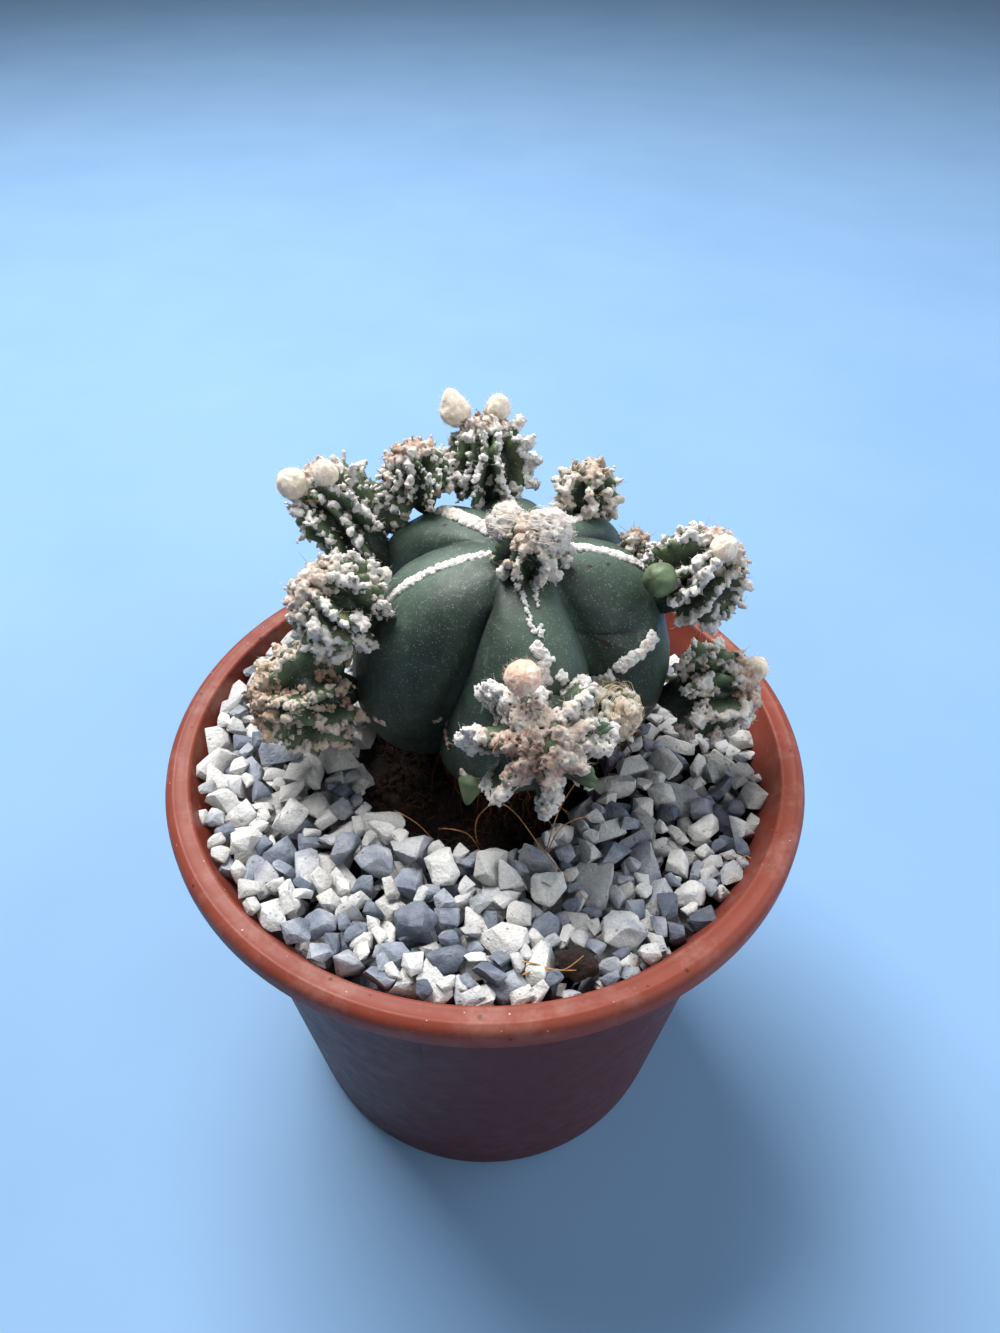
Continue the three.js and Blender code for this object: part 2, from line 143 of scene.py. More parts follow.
def lattice(cell, seed):
    """A repeatable random number from 0 to 1 for each whole-numbered cell of space."""
    x, y, z = np.moveaxis(cell, -1, 0)
    mixed = (x * 374761393 + y * 668265263 + z * 2147483647 + seed * 362437) & 0xFFFFFFFF
    mixed = ((mixed ^ (mixed >> 13)) * 1274126177) & 0xFFFFFFFF
    return ((mixed ^ (mixed >> 16)) & 0xFFFF) / 0xFFFF


def lumps(points, size, seed=0):
    """Smooth random values from -1 to 1 over space, with lumps about size millimetres across."""
    spot = np.asarray(points, float) / size + 0.37 * seed
    cell = np.floor(spot).astype(np.int64)
    part = spot - cell
    part = part * part * (3 - 2 * part)
    total = 0
    for corner in np.ndindex(2, 2, 2):
        weight = np.prod(np.where(np.array(corner) == 1, part, 1 - part), axis=-1)
        total = total + weight * lattice(cell + np.array(corner), seed)
    return total * 2 - 1


def curve_through(nodes, share):
    """Points on the smooth curve through the nodes, at shares from 0 to 1 of its length."""
    nodes = np.asarray(nodes, float)
    last = len(nodes) - 1
    place = np.clip(share, 0, 1) * last
    index = np.minimum(place.astype(int), last - 1)
    part = (place - index)[..., None]
    before, start = nodes[np.maximum(index - 1, 0)], nodes[index]
    end, after = nodes[index + 1], nodes[np.minimum(index + 2, last)]
    leave, arrive = (end - before) / 2, (after - start) / 2
    return (
        (2 * start - 2 * end + leave + arrive) * part**3
        + (3 * end - 3 * start - 2 * leave - arrive) * part**2
        + leave * part
        + start
    )


def colour(code):
    """A colour written as #rrggbb, as the linear colour that Blender works with."""
    parts = np.array([int(code[i:i + 2], 16) for i in (1, 3, 5)]) / 255
    linear = np.where(parts <= 0.04045, parts / 12.92, ((parts + 0.055) / 1.055) ** 2.4)
    return (*linear, 1.0)


# Nodes of materials and of geometry

def add_node(tree, kind, inputs=None, **settings):
    """A node with its settings, its inputs joined to a socket or set to a value."""
    made = tree.nodes.new(kind)
    for setting, value in settings.items():
        setattr(made, setting, value)
    for name, value in (inputs or {}).items():
        if isinstance(value, bpy.types.NodeSocket):
            tree.links.new(value, made.inputs[name])
        else:
            made.inputs[name].default_value = value
    return made


def new_group(name, kind, inputs, outputs):
    """A node group with named inputs and outputs; returns it with its two end nodes."""
    group = bpy.data.node_groups.new(name, kind)
    for label, (socket, value) in inputs.items():
        made = group.interface.new_socket(label, in_out="INPUT", socket_type="NodeSocket" + socket)
        if value is not None:
            made.default_value = value
    for label, socket in outputs.items():
        group.interface.new_socket(label, in_out="OUTPUT", socket_type="NodeSocket" + socket)
    return group, group.nodes.new("NodeGroupInput").outputs, group.nodes.new("NodeGroupOutput")


def calculate(tree, operation, *values):
    made = add_node(tree, "ShaderNodeMath", dict(enumerate(values)), operation=operation)
    return made.outputs[0]


def remap(tree, value, low, high, new_low=0.0, new_high=1.0):
    """Stretches a value from one range to another and holds it there."""
    ends = {"Value": value, "From Min": low, "From Max": high, "To Min": new_low, "To Max": new_high}
    return add_node(tree, "ShaderNodeMapRange", ends).outputs[0]


def blend(tree, share, first, second, how="MIX"):
    """A share of the second colour over the first."""
    ends = {0: share, 6: first, 7: second}
    return add_node(tree, "ShaderNodeMix", ends, data_type="RGBA", blend_type=how).outputs[2]


def noise(tree, where, size, detail=3.0, rough=0.55):
    """Soft noise from 0 to 1 with features about size millimetres across."""
    if isinstance(size, bpy.types.NodeSocket):
        scale = calculate(tree, "DIVIDE", 1.0, size)
    else:
        scale = 1 / size
    inputs = {"Vector": where, "Scale": scale, "Detail": detail, "Roughness": rough}
    return add_node(tree, "ShaderNodeTexNoise", inputs).outputs["Fac"]


def ramp(tree, value, stops):
    """Colours along a value, as pairs of place and colour."""
    made = add_node(tree, "ShaderNodeValToRGB", {"Fac": value})
    points = made.color_ramp.elements
    points[0].position, points[0].color = stops[0][0], colour(stops[0][1])
    points[1].position, points[1].color = stops[-1][0], colour(stops[-1][1])
    for place, code in stops[1:-1]:
        points.new(place).color = colour(code)
    return made.outputs["Color"]


def millimetre_group():
    group, _, ends = new_group("place_in_mm", "ShaderNodeTree", {}, {"Where": "Vector"})
    place = add_node(group, "ShaderNodeTexCoord").outputs["Object"]
    inputs = {"Vector": place, "Scale": 1 / MM}
    scaled = add_node(group, "ShaderNodeVectorMath", inputs, operation="SCALE")
    group.links.new(scaled.outputs["Vector"], ends.inputs["Where"])
    return group


def speck_group():
    """Small round specks scattered over a surface: dust, pits, flecks."""
    inputs = {
        "Where": ("Vector", None), "Spacing": ("Float", 1.0), "Size": ("Float", 0.2),
        "Share": ("Float", 0.3),
    }
    group, given, ends = new_group("specks", "ShaderNodeTree", inputs, {"Mask": "Float"})
    scale = calculate(group, "DIVIDE", 1.0, given["Spacing"])
    cells = add_node(group, "ShaderNodeTexVoronoi", {"Vector": given["Where"], "Scale": scale})
    chance = add_node(group, "ShaderNodeSeparateColor", {"Color": cells.outputs["Color"]})
    chosen = calculate(group, "LESS_THAN", chance.outputs["Red"], given["Share"])
    reach = calculate(group, "MULTIPLY", given["Size"], scale)
    reach = calculate(group, "MULTIPLY", reach, chance.outputs["Green"])
    inner = calculate(group, "MULTIPLY", reach, 0.4)
    spot = remap(group, cells.outputs["Distance"], reach, inner)
    mask = calculate(group, "MULTIPLY", spot, chosen)
    group.links.new(mask, ends.inputs["Mask"])
    return group


def grit_group():
    """Uneven ground of two sizes of lumps, as a height for a bump."""
    inputs = {
        "Where": ("Vector", None), "Lump Size": ("Float", 1.0), "Grain Size": ("Float", 0.2),
        "Grain Share": ("Float", 0.4),
    }
    group, given, ends = new_group("grit", "ShaderNodeTree", inputs, {"Height": "Float"})
    broad = noise(group, given["Where"], given["Lump Size"], 2.0)
    fine = noise(group, given["Where"], given["Grain Size"], 4.0, 0.65)
    fine = calculate(group, "MULTIPLY", fine, given["Grain Share"])
    total = calculate(group, "ADD", broad, fine)
    group.links.new(total, ends.inputs["Height"])
    return group


PLACE = millimetre_group()
SPECKS = speck_group()
GRIT = grit_group()


def new_finish(name, **fixed):
    """A material with its tree, its shader and the place on it in millimetres."""
    material = bpy.data.materials.new(name)
    material.use_nodes = True
    tree = material.node_tree
    shader = tree.nodes["Principled BSDF"]
    for socket, value in fixed.items():
        shader.inputs[socket.replace("_", " ").title().replace("Ior", "IOR")].default_value = value
    where = add_node(tree, "ShaderNodeGroup", node_tree=PLACE).outputs["Where"]
    return material, tree, shader, where


def speckle(tree, where, spacing, size, share):
    inputs = {"Where": where, "Spacing": spacing, "Size": size, "Share": share}
    return add_node(tree, "ShaderNodeGroup", inputs, node_tree=SPECKS).outputs["Mask"]


def roughen(tree, shader, where, lump, grain, grain_share, depth, extra=None):
    """Bumps a surface by grit, depth millimetres deep, with an extra height on top if given."""
    inputs = {"Where": where, "Lump Size": lump, "Grain Size": grain, "Grain Share": grain_share}
    height = add_node(tree, "ShaderNodeGroup", inputs, node_tree=GRIT).outputs["Height"]
    if extra is not None:
        height = calculate(tree, "ADD", height, extra)
    inputs = {"Height": height, "Distance": depth * MM, "Strength": 1.0}
    bump = add_node(tree, "ShaderNodeBump", inputs)
    tree.links.new(bump.outputs["Normal"], shader.inputs["Normal"])


def value_on_mesh(tree, name):
    return add_node(tree, "ShaderNodeAttribute", attribute_name=name).outputs["Fac"]


def pot_plastic():
    material, tree, shader, where = new_finish("pot_plastic", specular_ior_level=0.22)
    mottle = noise(tree, where, 9.0)
    base = blend(tree, mottle, colour("#7e3a2b"), colour("#6d3226"))
    pits = speckle(tree, where, 1.5, 0.42, 0.3)
    base = blend(tree, pits, base, colour("#4a221a"))
    height = add_node(tree, "ShaderNodeSeparateXYZ", {"Vector": where}).outputs["Z"]
    # Painted shade: below the lip, inside and out, the plastic is darkened towards a dull purple brown.
    painted_wall_shade = remap(tree, height, LIP_BOTTOM + 1.0, LIP_BOTTOM - 3.0, 0.0, 0.8)
    base = blend(tree, painted_wall_shade, base, colour("#43262a"))
    upper = remap(tree, height, LIP_BOTTOM, POT_HEIGHT - 1.0)
    dust = speckle(tree, where, 0.8, 0.13, 0.2)
    haze = remap(tree, noise(tree, where, 5.0, 5.0, 0.7), 0.5, 0.8, 0.0, 0.18)
    dust = calculate(tree, "MAXIMUM", dust, haze)
    dust = calculate(tree, "MULTIPLY", dust, upper)
    base = blend(tree, dust, base, colour("#cdb3a8"))
    tree.links.new(base, shader.inputs["Base Color"])
    gloss = remap(tree, noise(tree, where, 3.0, 4.0), 0.3, 0.7, 0.42, 0.56)
    tree.links.new(gloss, shader.inputs["Roughness"])
    roughen(tree, shader, where, 1.6, 0.25, 0.3, 0.03, calculate(tree, "MULTIPLY", pits, -1.0))
    return material


def peat():
    material, tree, shader, where = new_finish("peat", roughness=0.95)
    crumbs = noise(tree, where, 0.9, 5.0, 0.7)
    stops = [(0.3, "#120a07"), (0.5, "#23150e"), (0.68, "#3d2517"), (0.8, "#5b3a24")]
    tree.links.new(ramp(tree, crumbs, stops), shader.inputs["Base Color"])
    roughen(tree, shader, where, 1.1, 0.3, 0.7, 0.7)
    return material


def limestone():
    """Each stone carries its kind, from cream to slate, and how light it is."""
    material, tree, shader, where = new_finish("limestone", roughness=0.9, specular_ior_level=0.2)
    kind = value_on_mesh(tree, "kind")
    parting = remap(tree, noise(tree, where, 4.2, 1.0), 0.42, 0.58, -0.12, 0.12)
    kind = calculate(tree, "ADD", kind, parting)
    kind = calculate(tree, "ADD", kind, remap(tree, noise(tree, where, 0.8), 0.3, 0.7, -0.06, 0.06))
    stops = [
        (0.0, "#d4d2ce"), (0.3, "#cac9c7"), (0.48, "#b3b5b9"), (0.6, "#9ca1aa"), (0.75, "#848b98"),
        (0.95, "#5f6674"),
    ]
    base = ramp(tree, kind, stops)
    stain = remap(tree, noise(tree, where, 2.4, 4.0, 0.65), 0.6, 0.74, 0.0, 0.35)
    base = blend(tree, stain, base, colour("#a8937c"))
    pits = speckle(tree, where, 0.7, 0.3, 0.25)
    grey = remap(tree, noise(tree, where, 0.35, 3.0), 0.4, 0.7, 0.0, 0.22)
    grey = calculate(tree, "MAXIMUM", grey, calculate(tree, "MULTIPLY", pits, 0.5))
    base = blend(tree, grey, base, colour("#5e5f63"))
    light = remap(tree, value_on_mesh(tree, "light"), 0.0, 1.0, 0.7, 1.08)
    shade = add_node(tree, "ShaderNodeCombineColor", {"Red": light, "Green": light, "Blue": light})
    base = blend(tree, 1.0, base, shade.outputs[0], "MULTIPLY")
    tree.links.new(base, shader.inputs["Base Color"])
    roughen(tree, shader, where, 0.9, 0.24, 0.7, 0.28, calculate(tree, "MULTIPLY", pits, -0.5))
    return material


def green_skin(name, dark, light, fleck_share):
    """Leathery skin with pale felt flecks; crest, scar and cork are painted on the mesh: crest as painted
    light and shade, scar as real scars with painted shade along a crease.
    """
    material, tree, shader, where = new_finish(name, specular_ior_level=0.35)
    mottle = noise(tree, where, 3.2, 4.0, 0.6)
    # Painted light and shade: the crest value painted on the stem and heads makes the rib crests lighter and
    # the furrows between them darker.
    crest = value_on_mesh(tree, "crest")
    share = calculate(tree, "ADD", calculate(tree, "MULTIPLY", mottle, 0.5), crest)
    base = blend(tree, remap(tree, share, 0.1, 1.0), colour(dark), colour(light))
    squeeze = add_node(tree, "ShaderNodeMapping", {"Vector": where, "Scale": (1.0, 1.0, 0.12)})
    streaks = remap(tree, noise(tree, squeeze.outputs[0], 0.9, 3.0), 0.6, 0.78, 0.0, 0.25)
    base = blend(tree, streaks, base, colour("#7d9384"))
    fine = speckle(tree, where, 0.22, 0.11, fleck_share)
    sparse = speckle(tree, where, 0.6, 0.08, fleck_share * 0.2)
    flecks = calculate(tree, "MAXIMUM", fine, calculate(tree, "MULTIPLY", sparse, 0.6))
    flecks = calculate(tree, "MULTIPLY", flecks, 0.36)
    base = blend(tree, flecks, base, colour("#a9b3a4"))
    ragged = remap(tree, mottle, 0.2, 0.8, -0.3, 0.3)
    ragged = calculate(tree, "ADD", value_on_mesh(tree, "cork"), ragged)
    cork = remap(tree, ragged, 0.4, 0.6)
    grain = noise(tree, where, 0.8, 5.0, 0.7)
    bark = ramp(tree, grain, [(0.3, "#1a0f0a"), (0.5, "#43291b"), (0.7, "#7c563c")])
    base = blend(tree, cork, base, bark)
    # The scar value holds real scars and a line of painted shade along a crease; it darkens the skin to a
    # dark brown.
    scar = calculate(tree, "ADD", value_on_mesh(tree, "scar"), noise(tree, where, 0.5))
    scar = remap(tree, scar, 0.95, 1.2)
    base = blend(tree, scar, base, colour("#241610"))
    tree.links.new(base, shader.inputs["Base Color"])
    gloss = remap(tree, noise(tree, where, 1.5), 0.3, 0.7, 0.45, 0.6)
    gloss = calculate(tree, "MAXIMUM", gloss, cork)
    tree.links.new(gloss, shader.inputs["Roughness"])
    roughen(tree, shader, where, 1.2, 0.2, 0.6, 0.05, calculate(tree, "MULTIPLY", cork, mottle))
    return material


def wool():
    """Felted wool: tone runs from white to brown, and gold turns it straw coloured."""
    material, tree, shader, where = new_finish("areole_wool", roughness=0.95, sheen_weight=0.2,
                                               sheen_roughness=0.6, specular_ior_level=0.1)
    tone = value_on_mesh(tree, "tone")
    drift = remap(tree, noise(tree, where, 1.3, 4.0, 0.65), 0.25, 0.75, -0.24, 0.24)
    tone = calculate(tree, "ADD", tone, drift)
    stops = [
        (0.0, "#f7f4f0"), (0.25, "#eee6dc"), (0.5, "#d9c2b2"), (0.72, "#ab8674"), (0.9, "#6b4736"),
        (1.0, "#3a2419"),
    ]
    base = ramp(tree, tone, stops)
    straw = remap(tree, noise(tree, where, 0.9), 0.3, 0.6)
    gold = calculate(tree, "MULTIPLY", value_on_mesh(tree, "gold"), straw)
    base = blend(tree, gold, base, colour("#d9bf8c"))
    bits = speckle(tree, where, 0.9, 0.3, 0.16)
    base = blend(tree, bits, base, colour("#4c3020"))
    tree.links.new(base, shader.inputs["Base Color"])
    roughen(tree, shader, where, 0.5, 0.13, 1.0, 0.32)
    return material


def bud_wool():
    material, tree, shader, where = new_finish("bud_wool", roughness=0.95, sheen_weight=0.3,
                                               sheen_roughness=0.5, specular_ior_level=0.1)
    cloud = noise(tree, where, 1.1, 4.0, 0.6)
    pale = ramp(tree, cloud, [(0.3, "#dccdb5"), (0.5, "#eee3d0"), (0.7, "#f8f2e6")])
    rosy = ramp(tree, cloud, [(0.3, "#d3a58c"), (0.5, "#e4c0a9"), (0.7, "#f0dccb")])
    base = blend(tree, value_on_mesh(tree, "rosy"), pale, rosy)
    tree.links.new(base, shader.inputs["Base Color"])
    roughen(tree, shader, where, 0.4, 0.12, 0.9, 0.15)
    return material


def fibre(name, dark, light):
    """Hairs, spines, root threads: two colours that drift along and between them."""
    material, tree, shader, where = new_finish(name, roughness=0.6, specular_ior_level=0.3)
    base = blend(tree, remap(tree, noise(tree, where, 1.2), 0.35, 0.65), colour(dark), colour(light))
    tree.links.new(base, shader.inputs["Base Color"])
    return material


FINISHES = {
    "pot": pot_plastic(),
    "peat": peat(),
    "limestone": limestone(),
    "stem_skin": green_skin("cactus_skin", "#18251f", "#54675a", 0.6),
    "young_skin": green_skin("young_skin", "#1e2a1f", "#6a7d5a", 0.4),
    "wool": wool(),
    "bud": bud_wool(),
    "hair": fibre("wool_hair", "#d9c4b2", "#f2e9dd"),
    "straw_hair": fibre("straw_hair", "#cbb183", "#efe2c4"),
    "bud_hair": fibre("bud_hair", "#e6bfa4", "#f7e8da"),
    "spine": fibre("spine", "#8a5426", "#c99652"),
    "bark": fibre("root_bark", "#2a150c", "#6b4128"),
    "thread": fibre("root_thread", "#8c5a30", "#c49058"),
}


# Meshes

def new_mesh(name, points, faces):
    mesh = bpy.data.meshes.new(name)
    mesh.from_pydata(np.asarray(points, float).reshape(-1, 3), [], faces)
    mesh.update()
    return mesh


def new_object(name, data):
    made = bpy.data.objects.new(name, data)
    bpy.context.collection.objects.link(made)
    return made


def block_mesh(name, block):
    """The mesh of a block of corners and faces; the block is let go."""
    mesh = bpy.data.meshes.new(name)
    block.to_mesh(mesh)
    block.free()
    return mesh


def crisp(mesh):
    """Smooth shading that stays sharp at the edges."""
    mesh.shade_smooth()
    mesh.set_sharp_from_angle(angle=SHARP_ANGLE)


def paint(mesh, name, values):
    """Stores a value for each corner point of a mesh, for its material to read."""
    layer = mesh.attributes.new(name, "FLOAT", "POINT")
    layer.data.foreach_set("value", np.asarray(values, np.float32).ravel())


def ring_faces(rows, around):
    """Four-sided faces between rows of points that close round on themselves."""
    index = np.arange(rows * around).reshape(rows, around)
    beside = np.roll(index, -1, axis=1)
    quads = np.stack([index[:-1], beside[:-1], beside[1:], index[1:]], axis=-1)
    return quads.reshape(-1, 4).tolist()


def closed_rings(name, rings):
    """A closed skin over rings of points, its first and last ring drawn together to a point."""
    rows, around = rings.shape[:2]
    top, bottom = rings[0].mean(axis=0), rings[-1].mean(axis=0)
    points = np.concatenate([rings.reshape(-1, 3), [top, bottom]])
    faces = ring_faces(rows, around)
    first, last = rows * around, rows * around + 1
    for i in range(around):
        j = (i + 1) % around
        faces.append([first, j, i])
        faces.append([last, (rows - 1) * around + i, (rows - 1) * around + j])
    mesh = new_mesh(name, points, faces)
    face_out(mesh)
    mesh.shade_smooth()
    return mesh


def paint_rings(mesh, shape, **painted):
    """Paints values given for the points of rings of that shape; the two end points get 0."""
    for name, values in painted.items():
        paint(mesh, name, np.append(np.broadcast_to(values, shape), (0, 0)))


def level_rings(radii, heights, around):
    """Rings of points round the upright axis, one for each radius and height."""
    turns = full_turn(around)
    return np.stack([
        radii[:, None] * np.cos(turns), radii[:, None] * np.sin(turns),
        np.repeat(heights[:, None], around, axis=1),
    ], axis=-1)


def face_out(mesh, merged=None):
    """Turns all faces outwards, after corners closer than merged are made one."""
    shell = bmesh.new()
    shell.from_mesh(mesh)
    if merged:
        bmesh.ops.remove_doubles(shell, verts=shell.verts, dist=merged)
    bmesh.ops.recalc_face_normals(shell, faces=shell.faces)
    shell.to_mesh(mesh)
    shell.free()


def join_meshes(name, meshes):
    """One mesh from several, with their painted values and materials."""
    holders = [new_object(name, mesh) for mesh in meshes]
    with bpy.context.temp_override(active_object=holders[0], selected_editable_objects=holders):
        bpy.ops.object.join()
    mesh = holders[0].data
    bpy.data.objects.remove(holders[0])
    return mesh


def finish_piece(name, mesh, nodes=(), finish=None):
    """Stores a mesh in metres as a piece on the part's one body."""
    mesh.transform(Matrix.Scale(MM, 4))
    if finish:
        mesh.materials.clear()
        mesh.materials.append(FINISHES[finish])
    piece = new_object(name, mesh)
    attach(piece, "root")
    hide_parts(*nodes)


def plain_result(holder):
    """The plain mesh that an object's modifiers make of it; the object goes."""
    graph = bpy.context.evaluated_depsgraph_get()
    result = bpy.data.meshes.new_from_object(holder.evaluated_get(graph))
    bpy.data.objects.remove(holder)
    return result


def run_tree(tree, mesh, values):
    """Runs a geometry tree on a mesh with its named inputs set, and returns the plain result."""
    holder = new_object("run_" + tree.name, mesh)
    step = holder.modifiers.new("tree", "NODES")
    step.node_group = tree
    for socket in tree.interface.items_tree:
        if socket.in_out == "INPUT" and socket.name in values:
            step[socket.identifier] = values[socket.name]
    return plain_result(holder)


def new_tree(name, inputs):
    """A geometry tree with its own inputs between the geometry and the material."""
    ends = {"Geometry": ("Geometry", None), **inputs, "Material": ("Material", None)}
    return new_group(name, "GeometryNodeTree", ends, {"Geometry": "Geometry"})


def named_value(tree, name, data_type="FLOAT"):
    inputs = {"Name": name}
    return add_node(tree, "GeometryNodeInputNamedAttribute", inputs, data_type=data_type).outputs[0]


def shapes_of(tree, given):
    """The shapes in the given collection, to pick from."""
    inputs = {"Collection": given["Shapes"], "Separate Children": True, "Reset Children": True}
    return add_node(tree, "GeometryNodeCollectionInfo", inputs).outputs[0]


def end_tree(tree, geometry, material, ends):
    """Every tree ends in real meshes with their material."""
    real = add_node(tree, "GeometryNodeRealizeInstances", {"Geometry": geometry})
    dressed = add_node(
        tree, "GeometryNodeSetMaterial", {"Geometry": real.outputs[0], "Material": material})
    tree.links.new(dressed.outputs[0], ends.inputs["Geometry"])


def copies_tree():
    """Sets a copy of one of a collection's shapes at each point, turned and sized as painted there."""
    tree, given, ends = new_tree("set_copies", {"Shapes": ("Collection", None)})
    points = add_node(tree, "GeometryNodeMeshToPoints", {"Mesh": given["Geometry"]})
    shapes = shapes_of(tree, given)
    turn = add_node(tree, "FunctionNodeEulerToRotation", {
        "Euler": named_value(tree, "turn", "FLOAT_VECTOR")})
    placed = add_node(tree, "GeometryNodeInstanceOnPoints", {
        "Points": points.outputs[0], "Instance": shapes, "Pick Instance": True,
        "Instance Index": named_value(tree, "pick", "INT"), "Rotation": turn.outputs[0],
        "Scale": named_value(tree, "size", "FLOAT_VECTOR"),
    })
    end_tree(tree, placed.outputs[0], given["Material"], ends)
    return tree


def wool_tree():
    """Felts the crumbs at painted points together into one lumpy mass of wool."""
    inputs = {
        "Voxel": ("Float", 0.2), "Crumb Size": ("Float", 0.6), "Crumb Depth": ("Float", 0.35),
        "Fluff Size": ("Float", 0.3), "Fluff Depth": ("Float", 0.3),
    }
    tree, given, ends = new_tree("felt_wool", inputs)
    cloud = add_node(tree, "GeometryNodeMeshToPoints", {"Mesh": given["Geometry"]}).outputs[0]
    volume = add_node(tree, "GeometryNodePointsToVolume", {
        "Points": cloud, "Voxel Size": given["Voxel"], "Radius": named_value(tree, "thickness"),
    }, resolution_mode="VOXEL_SIZE")
    skin = add_node(tree, "GeometryNodeVolumeToMesh", {"Volume": volume.outputs[0]}).outputs[0]
    here = add_node(tree, "GeometryNodeInputPosition").outputs[0]
    out = add_node(tree, "GeometryNodeInputNormal").outputs[0]
    crumb = noise(tree, here, given["Crumb Size"], 1.0)
    crumb = calculate(tree, "MULTIPLY", calculate(tree, "SUBTRACT", crumb, 0.5), given["Crumb Depth"])
    fluff = noise(tree, here, given["Fluff Size"], 2.0)
    fluff = calculate(tree, "MULTIPLY", calculate(tree, "SUBTRACT", fluff, 0.5), given["Fluff Depth"])
    rise = calculate(tree, "MULTIPLY", calculate(tree, "ADD", crumb, fluff), 2.0)
    offset = add_node(tree, "ShaderNodeVectorMath", {"Vector": out, "Scale": rise}, operation="SCALE")
    moved = {"Geometry": skin, "Offset": offset.outputs[0]}
    skin = add_node(tree, "GeometryNodeSetPosition", moved).outputs[0]
    near = add_node(tree, "GeometryNodeSampleNearest", {"Geometry": cloud, "Sample Position": here})
    for name in ("tone", "gold"):
        taken = add_node(tree, "GeometryNodeSampleIndex", {
            "Geometry": cloud, "Value": named_value(tree, name), "Index": near.outputs[0]})
        spread = add_node(tree, "GeometryNodeBlurAttribute", {"Value": taken.outputs[0], "Iterations": 3})
        value = spread.outputs[0]
        # Painted light and shade: the wool's tone is made whiter on its bumps and darker in the crevices
        # between them.
        if name == "tone":
            value = calculate(tree, "SUBTRACT", value, calculate(tree, "MULTIPLY", rise, 0.75))
        skin = add_node(tree, "GeometryNodeStoreNamedAttribute", {
            "Geometry": skin, "Name": name, "Value": value}).outputs[0]
    skin = add_node(tree, "GeometryNodeSetShadeSmooth", {"Geometry": skin}).outputs[0]
    end_tree(tree, skin, given["Material"], ends)
    return tree


def hairs_tree():
    """Grows hairs all over a surface, leaning every way from it."""
    inputs = {
        "Shapes": ("Collection", None), "Density": ("Float", 1.0), "Shortest": ("Float", 0.6),
        "Longest": ("Float", 1.4), "Lean": ("Float", 0.8), "Seed": ("Int", 0),
    }
    tree, given, ends = new_tree("grow_hairs", inputs)
    spread = add_node(tree, "GeometryNodeDistributePointsOnFaces", {
        "Mesh": given["Geometry"], "Density": given["Density"], "Seed": given["Seed"]})
    shapes = shapes_of(tree, given)
    least = calculate(tree, "MULTIPLY", given["Lean"], -1.0)
    low = add_node(tree, "ShaderNodeCombineXYZ", {"X": least, "Y": least, "Z": -3.14})
    high = add_node(tree, "ShaderNodeCombineXYZ", {"X": given["Lean"], "Y": given["Lean"], "Z": 3.14})
    lean = add_node(tree, "FunctionNodeRandomValue", {
        "Min": low.outputs[0], "Max": high.outputs[0], "Seed": given["Seed"]}, data_type="FLOAT_VECTOR")
    lean = add_node(tree, "FunctionNodeEulerToRotation", {"Euler": lean.outputs[0]})
    turn = add_node(tree, "FunctionNodeRotateRotation", {
        "Rotation": spread.outputs["Rotation"], "Rotate By": lean.outputs[0]}, rotation_space="LOCAL")
    length = add_node(tree, "FunctionNodeRandomValue", {
        2: given["Shortest"], 3: given["Longest"], "Seed": given["Seed"]}, data_type="FLOAT")
    pick = add_node(tree, "FunctionNodeRandomValue", {
        4: 0, 5: 100, "Seed": given["Seed"]}, data_type="INT")
    grown = add_node(tree, "GeometryNodeInstanceOnPoints", {
        "Points": spread.outputs["Points"], "Instance": shapes, "Pick Instance": True,
        "Instance Index": pick.outputs[2], "Rotation": turn.outputs[0], "Scale": length.outputs[1]})
    end_tree(tree, grown.outputs[0], given["Material"], ends)
    return tree


def threads_tree():
    """Turns chains of points into thin round threads, as thick as painted on them."""
    tree, given, ends = new_tree("draw_threads", {"Sides": ("Int", 5)})
    lines = add_node(tree, "GeometryNodeMeshToCurve", {"Mesh": given["Geometry"]}).outputs[0]
    ring = add_node(tree, "GeometryNodeCurvePrimitiveCircle", {"Resolution": given["Sides"], "Radius": 1.0})
    tubes = add_node(tree, "GeometryNodeCurveToMesh", {
        "Curve": lines, "Profile Curve": ring.outputs[0], "Scale": named_value(tree, "thickness"),
        "Fill Caps": True})
    soft = add_node(tree, "GeometryNodeSetShadeSmooth", {"Geometry": tubes.outputs[0]}).outputs[0]
    end_tree(tree, soft, given["Material"], ends)
    return tree


COPIES = copies_tree()
FELT = wool_tree()
HAIRS = hairs_tree()
THREADS = threads_tree()


def shape_store(name, meshes):
    """A collection of shapes for the trees to copy; it isn't part of the scene."""
    store = bpy.data.collections.new(name)
    for number, mesh in enumerate(meshes):
        store.objects.link(bpy.data.objects.new(f"{name}_{number:03d}", mesh))
    return store


def set_copies(spots, picks, turns, sizes, shapes, finish, **painted):
    """Copies of the shapes at spots, and any painted values that go with each copy."""
    points = new_mesh("spots", spots, [])
    count = len(spots)
    points.attributes.new("pick", "INT", "POINT").data.foreach_set("value", np.asarray(picks, np.int32))
    for name, values in (("turn", turns), ("size", sizes)):
        layer = points.attributes.new(name, "FLOAT_VECTOR", "POINT")
        wide = np.broadcast_to(np.asarray(values, np.float32).reshape(count, -1), (count, 3))
        layer.data.foreach_set("vector", np.ascontiguousarray(wide).ravel())
    for name, values in painted.items():
        paint(points, name, values)
    return run_tree(COPIES, points, {"Shapes": shapes, "Material": FINISHES[finish]})


def draw_threads(lines, thicknesses, finish, sides=5):
    """Threads along lines of points; each has a thickness for each of its points."""
    points = np.concatenate(lines)
    edges = []
    start = 0
    for line in lines:
        edges += [(start + i, start + i + 1) for i in range(len(line) - 1)]
        start += len(line)
    mesh = bpy.data.meshes.new("lines")
    mesh.from_pydata(points, edges, [])
    paint(mesh, "thickness", np.concatenate(thicknesses))
    return run_tree(THREADS, mesh, {"Sides": sides, "Material": FINISHES[finish]})


